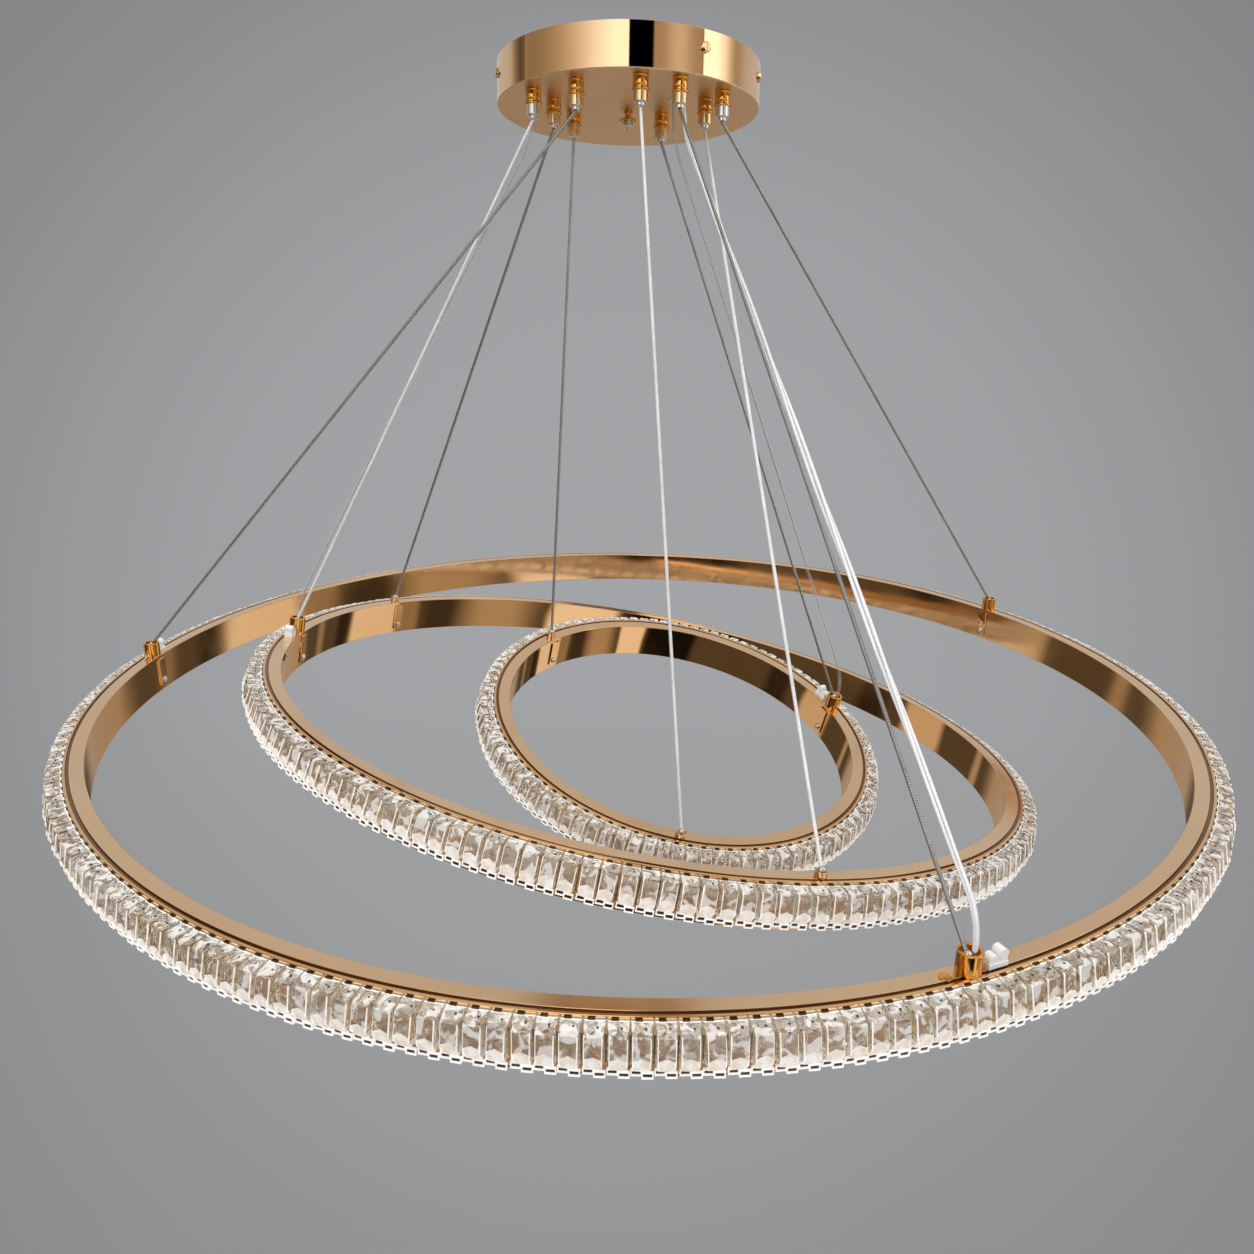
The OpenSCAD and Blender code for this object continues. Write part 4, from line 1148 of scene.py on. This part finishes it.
def make_left_plug():
    """The large ring's second plug, beside its left post, where its strips join."""
    ring = RINGS["large"]
    degrees = ring["posts"][0] - LEFT_PLUG_BEFORE
    spot = (ring["place"] @ Matrix.Translation(on_circle(ring["post_r"], degrees))
            @ Matrix.Rotation(radians(degrees), 4, "Z"))
    for label, along, radius, high in (("tall", -2.4, 2.9, 10.5), ("low", 2.9, 2.7, 7.5)):
        skirt = radius + 0.4
        outline = [(0, 0), (skirt, 0, 0.2), (skirt, 2.4, 0.4), (radius - 0.7, 3.6, 0.5),
                   (radius, high - 2.6, 1.0), (radius - 1.3, high, 1.0), (0, high)]
        lobe = turned("left_plug_" + label, outline, 28, ["white_plastic"], None,
                      spot @ Matrix.Translation((0, along, 0)))
        finished(lobe, "large_ring", "white_plastic")


def make_small_metal():
    """What lies on the large ring's top face by its posts: a screw head, a plug's wire and two loose ends."""
    ring = RINGS["large"]
    spot = Matrix.Translation(in_post(ring, 2, -TOP_SCREW_BEFORE, 0)) @ ring["place"].to_3x3().to_4x4()
    outline = [(0, -0.8), (2.8, -0.8), (3.3, 0.2, 0.1), (3.1, 0.5, 0.2), (0.9, 0.75, 0.2), (0.6, 0.4, 0.1),
               (0, 0.4)]
    head = turned("large_top_screw", outline, 28, ["deep_gold"], None, spot)
    finished(head, "large_ring", "ring_gold")
    # For each: the post it starts from, and how far aside and how high its points are
    ends = {
        "plug_tail": (2, ((6.2, 3.4), (7.4, 2.6), (9.0, 1.7), (11.6, 1.1)), "deep_gold", "post_gold"),
        "left_tail_a": (0, ((6.0, 5.0), (7.6, 6.6), (9.4, 4.2), (10.6, 1.0), (13.5, 0.9)), "deep_gold",
                        "post_gold"),
        # This loose steel end takes the paler wire finish, a painted sheen
        "left_tail_b": (0, ((6.1, 2.2), (8.0, 1.2), (10.0, 2.6), (12.4, 1.4), (15.0, 0.9)), "bright_rope",
                        "steel_wire"),
    }
    for name, (post, spots, finish, slot) in ends.items():
        line = smooth_path([in_post(ring, post, way, z) for way, z in spots], 0.6)
        finished(tube("large_" + name, line, TAIL_R, 8, finish), "large_ring", slot)


def plate_shape(name, wide, high, thick, corner, ease):
    """A thin plate with rounded corners and edges, its face along +X."""
    ring = []
    for cy, cz, start in ((1, 1, 0), (-1, 1, 90), (-1, -1, 180), (1, -1, 270)):
        for s in range(5):
            t = radians(start + 22.5 * s)
            ring.append((cy * (wide / 2 - corner) + corner * cos(t),
                         cz * (high / 2 - corner) + corner * sin(t)))
    n = len(ring)
    inset = [(y * (1 - 2 * ease / wide), z * (1 - 2 * ease / high)) for y, z in ring]
    layers = [(-thick / 2, inset), (-thick / 2 + ease, ring), (thick / 2 - ease, ring), (thick / 2, inset)]
    verts = [(x, y, z) for x, layer in layers for y, z in layer]
    ends = [tuple(range(n - 1, -1, -1)), tuple(3 * n + k for k in range(n))]
    return new_piece(name, verts, wrapped_faces(4, n) + ends, ["ring_mirror"])


for key, ring in RINGS.items():
    make_fittings(key, ring)
make_left_plug()
make_small_metal()


# Finishes of the pieces that stay as the part has them
def coat_nodes():
    kept = {"ceiling_bracket": "zinc", "canopy_side_screws": "pale_gold", "finial_nut": "nickel",
            "gland_nuts": "nickel", "led_driver": "white_plastic", "terminal_block": "ivory_plastic",
            "lead_grommets": "white_plastic"}
    for key in RINGS:
        kept[key + "_lead_connector"] = "white_plastic"
    for name, finish in kept.items():
        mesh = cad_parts[name].data
        mesh.materials.clear()
        mesh.materials.append(FINISHES[finish])


coat_nodes()


# Floor, world and lamps
WALL_TONE = tone(0.985, 1.0, 1.035)
DEGREES = 180 / pi
FLOOR_REACH, FLOOR_Z = 30.0, -1.7
BEHIND_LEVEL, CEILING_LEVEL, UNDER_LEVEL, GLASS_LEVEL, LOW_GROUND = 0.56, 0.7, 0.44, 0.22, 0.09
# The low panels' turn for each degree down, and their turn at the horizon
LOW_SWING, LOW_SHIFT = 0.72, 14.4
# The low studio panels: where each starts and ends round the object in degrees, its level, and its soft edge
LOW_PANELS = [(-88, -76, 0.03, 3), (-30, 9, 0.01, 3), (12, 36, 0.9, 2), (44, 70, 0.42, 8), (73, 88, 0.05, 3),
              (92, 102, 0.3, 2), (103, 129, 0.78, 2), (131, 138, 0.03, 2), (148, 152, 0.3, 2),
              (-148, -143, 0.4, 2)]


def wall_level(f, way):
    """The wall behind is a little lighter in the middle of the photo than in its corners."""
    return f.step(f.vector("DOT_PRODUCT", way, PHOTO_AHEAD).part("Value"), 0.72, 0.99, 0.235, 0.37)


def make_floor():
    size, z = FLOOR_REACH, FLOOR_Z
    mesh = bpy.data.meshes.new("studio_floor")
    mesh.from_pydata([(-size, -size, z), (size, -size, z), (size, size, z), (-size, size, z)], [],
                     [(0, 1, 2, 3)])
    floor = stood("studio_floor", mesh)
    f = finish_named("studio_grey")
    spot = f.coords()
    far = f.vector("LENGTH", spot).part("Value")
    share = f.step(far, 1.5, 5.0, 0.6, 1.0) * f.node("ShaderNodeLightPath").part("Is Camera Ray")
    # The glow on the floor fades from the place that the photo is taken from, as the wall's does
    line = f.vector("NORMALIZE", f.vector("SUBTRACT", spot, PHOTO_FROM))
    f.cover(share, f.node("ShaderNodeEmission", None, Color=WALL_TONE, Strength=wall_level(f, line)))
    mesh.materials.append(f.shade(Base_Color=tone(0.29, 0.295, 0.305), Roughness=0.9, Specular_IOR_Level=0.1))
    floor.visible_glossy = False
    floor.visible_transmission = False


def make_world():
    world = bpy.data.worlds.new("studio")
    bpy.context.scene.world = world
    world.use_nodes = True
    f = Finish(world.node_tree)
    f.tree.nodes.clear()
    way = f.node("ShaderNodeTexCoord").part("Generated")
    axes = f.node("ShaderNodeSeparateXYZ", None, way)
    x, y, up = axes.part("X"), axes.part("Y"), axes.part("Z")
    round_angle = f.node("ShaderNodeMath", {"operation": "ARCTAN2"}, x, y * -1.0) * DEGREES

    def panel(angle, low, high, soft):
        return f.step(angle, low - soft, low + soft) * f.step(angle, high - soft, high + soft, 1.0, 0.0)

    # Seen in the canopy: a light that grows towards the front, a black flag, a softer light and a bright
    # strip on the right, and dark edges
    left_light = panel(round_angle, -98, 0.3, 0.5) * (0.30 + 1.25 * f.between(round_angle, -97, -12) ** 2.2)
    right_light = panel(round_angle, 21, 65, 1.2) * (0.42 + 0.46 * panel(round_angle, 38, 48, 14))
    side_strip = panel(round_angle, 66, 128, 1.2) * (0.42 + 1.4 * f.step(round_angle, 74, 106, 1.0, 0.0))
    open_back = 0.36 * (1.0 - panel(round_angle, -98, 128, 3))
    for start, end, dark, soft in ((-120, -99, 0.72, 6), (131, 160, 0.85, 3)):
        open_back = open_back * (1.0 - dark * panel(round_angle, start, end, soft))
    behind = f.step(y, 0.2, 0.6)
    upper = f.mix(behind, left_light + right_light + side_strip + open_back, BEHIND_LEVEL)
    upper = f.mix(f.step(up, 0.84, 0.96), upper, CEILING_LEVEL)

    # Seen in the rings' inner walls: low panels with dark ground between them, which swing round as they go
    # down
    height = f.node("ShaderNodeMath", {"operation": "ARCSINE"}, up)
    low_angle = round_angle + height * (LOW_SWING * DEGREES) + LOW_SHIFT
    low_light = LOW_GROUND + 0.5 * panel(low_angle, -118, -98, 2)
    for start, end, level, soft in LOW_PANELS:
        low_light = low_light + (level - LOW_GROUND) * panel(low_angle, start, end, soft)
    low_light = low_light + f.step(round_angle * round_angle, 158.0 ** 2, 170.0 ** 2, 0.0, 0.3)
    low_light = f.mix(f.step(up, -0.95, -0.75, 1.0, 0.0), low_light, UNDER_LEVEL)
    above = f.step(up, -0.1, 0.02)
    level = f.mix(above, low_light, upper)

    # What is seen through glass has no black in it, and matt surfaces get plain soft light
    path = f.node("ShaderNodeLightPath")
    matt = path.part("Is Diffuse Ray")
    pale = f.between(level, 0.35, 1.0) + behind * above + matt
    colour = f.blend(pale, tone(1.0, 0.80, 0.56), tone(1.0, 0.985, 0.97))
    level = level + path.part("Is Transmission Ray") * (GLASS_LEVEL - 0.1 * level)
    level = f.mix(matt, level, f.between(up, -1.0, 1.0, 0.62, 1.0))
    light = f.node("ShaderNodeBackground", None, Color=colour, Strength=level)
    seen = f.node("ShaderNodeBackground", None, Color=WALL_TONE, Strength=wall_level(f, way))
    both = f.node("ShaderNodeMixShader", None, path.part("Is Camera Ray"), light, seen)
    f.node("ShaderNodeOutputWorld", None, Surface=both)


def make_lamps():
    for name, at, size, power in (("top_soft", (-0.9, -0.9, 0.9), 1.6, 14.0),
                                  ("front_soft", (1.2, -1.6, 0.3), 1.2, 8.0)):
        data = bpy.data.lights.new(name, "AREA")
        data.shape = "SQUARE"
        data.size = size
        data.energy = power
        lamp = stood(name, data)
        lamp.location = at
        aim = Vector((0, 0, -0.45)) - Vector(at)
        lamp.rotation_euler = aim.to_track_quat("-Z", "Y").to_euler()
        lamp.visible_camera = False
        lamp.visible_glossy = False


make_floor()
make_world()
make_lamps()
bpy.context.scene.view_settings.view_transform = "Standard"
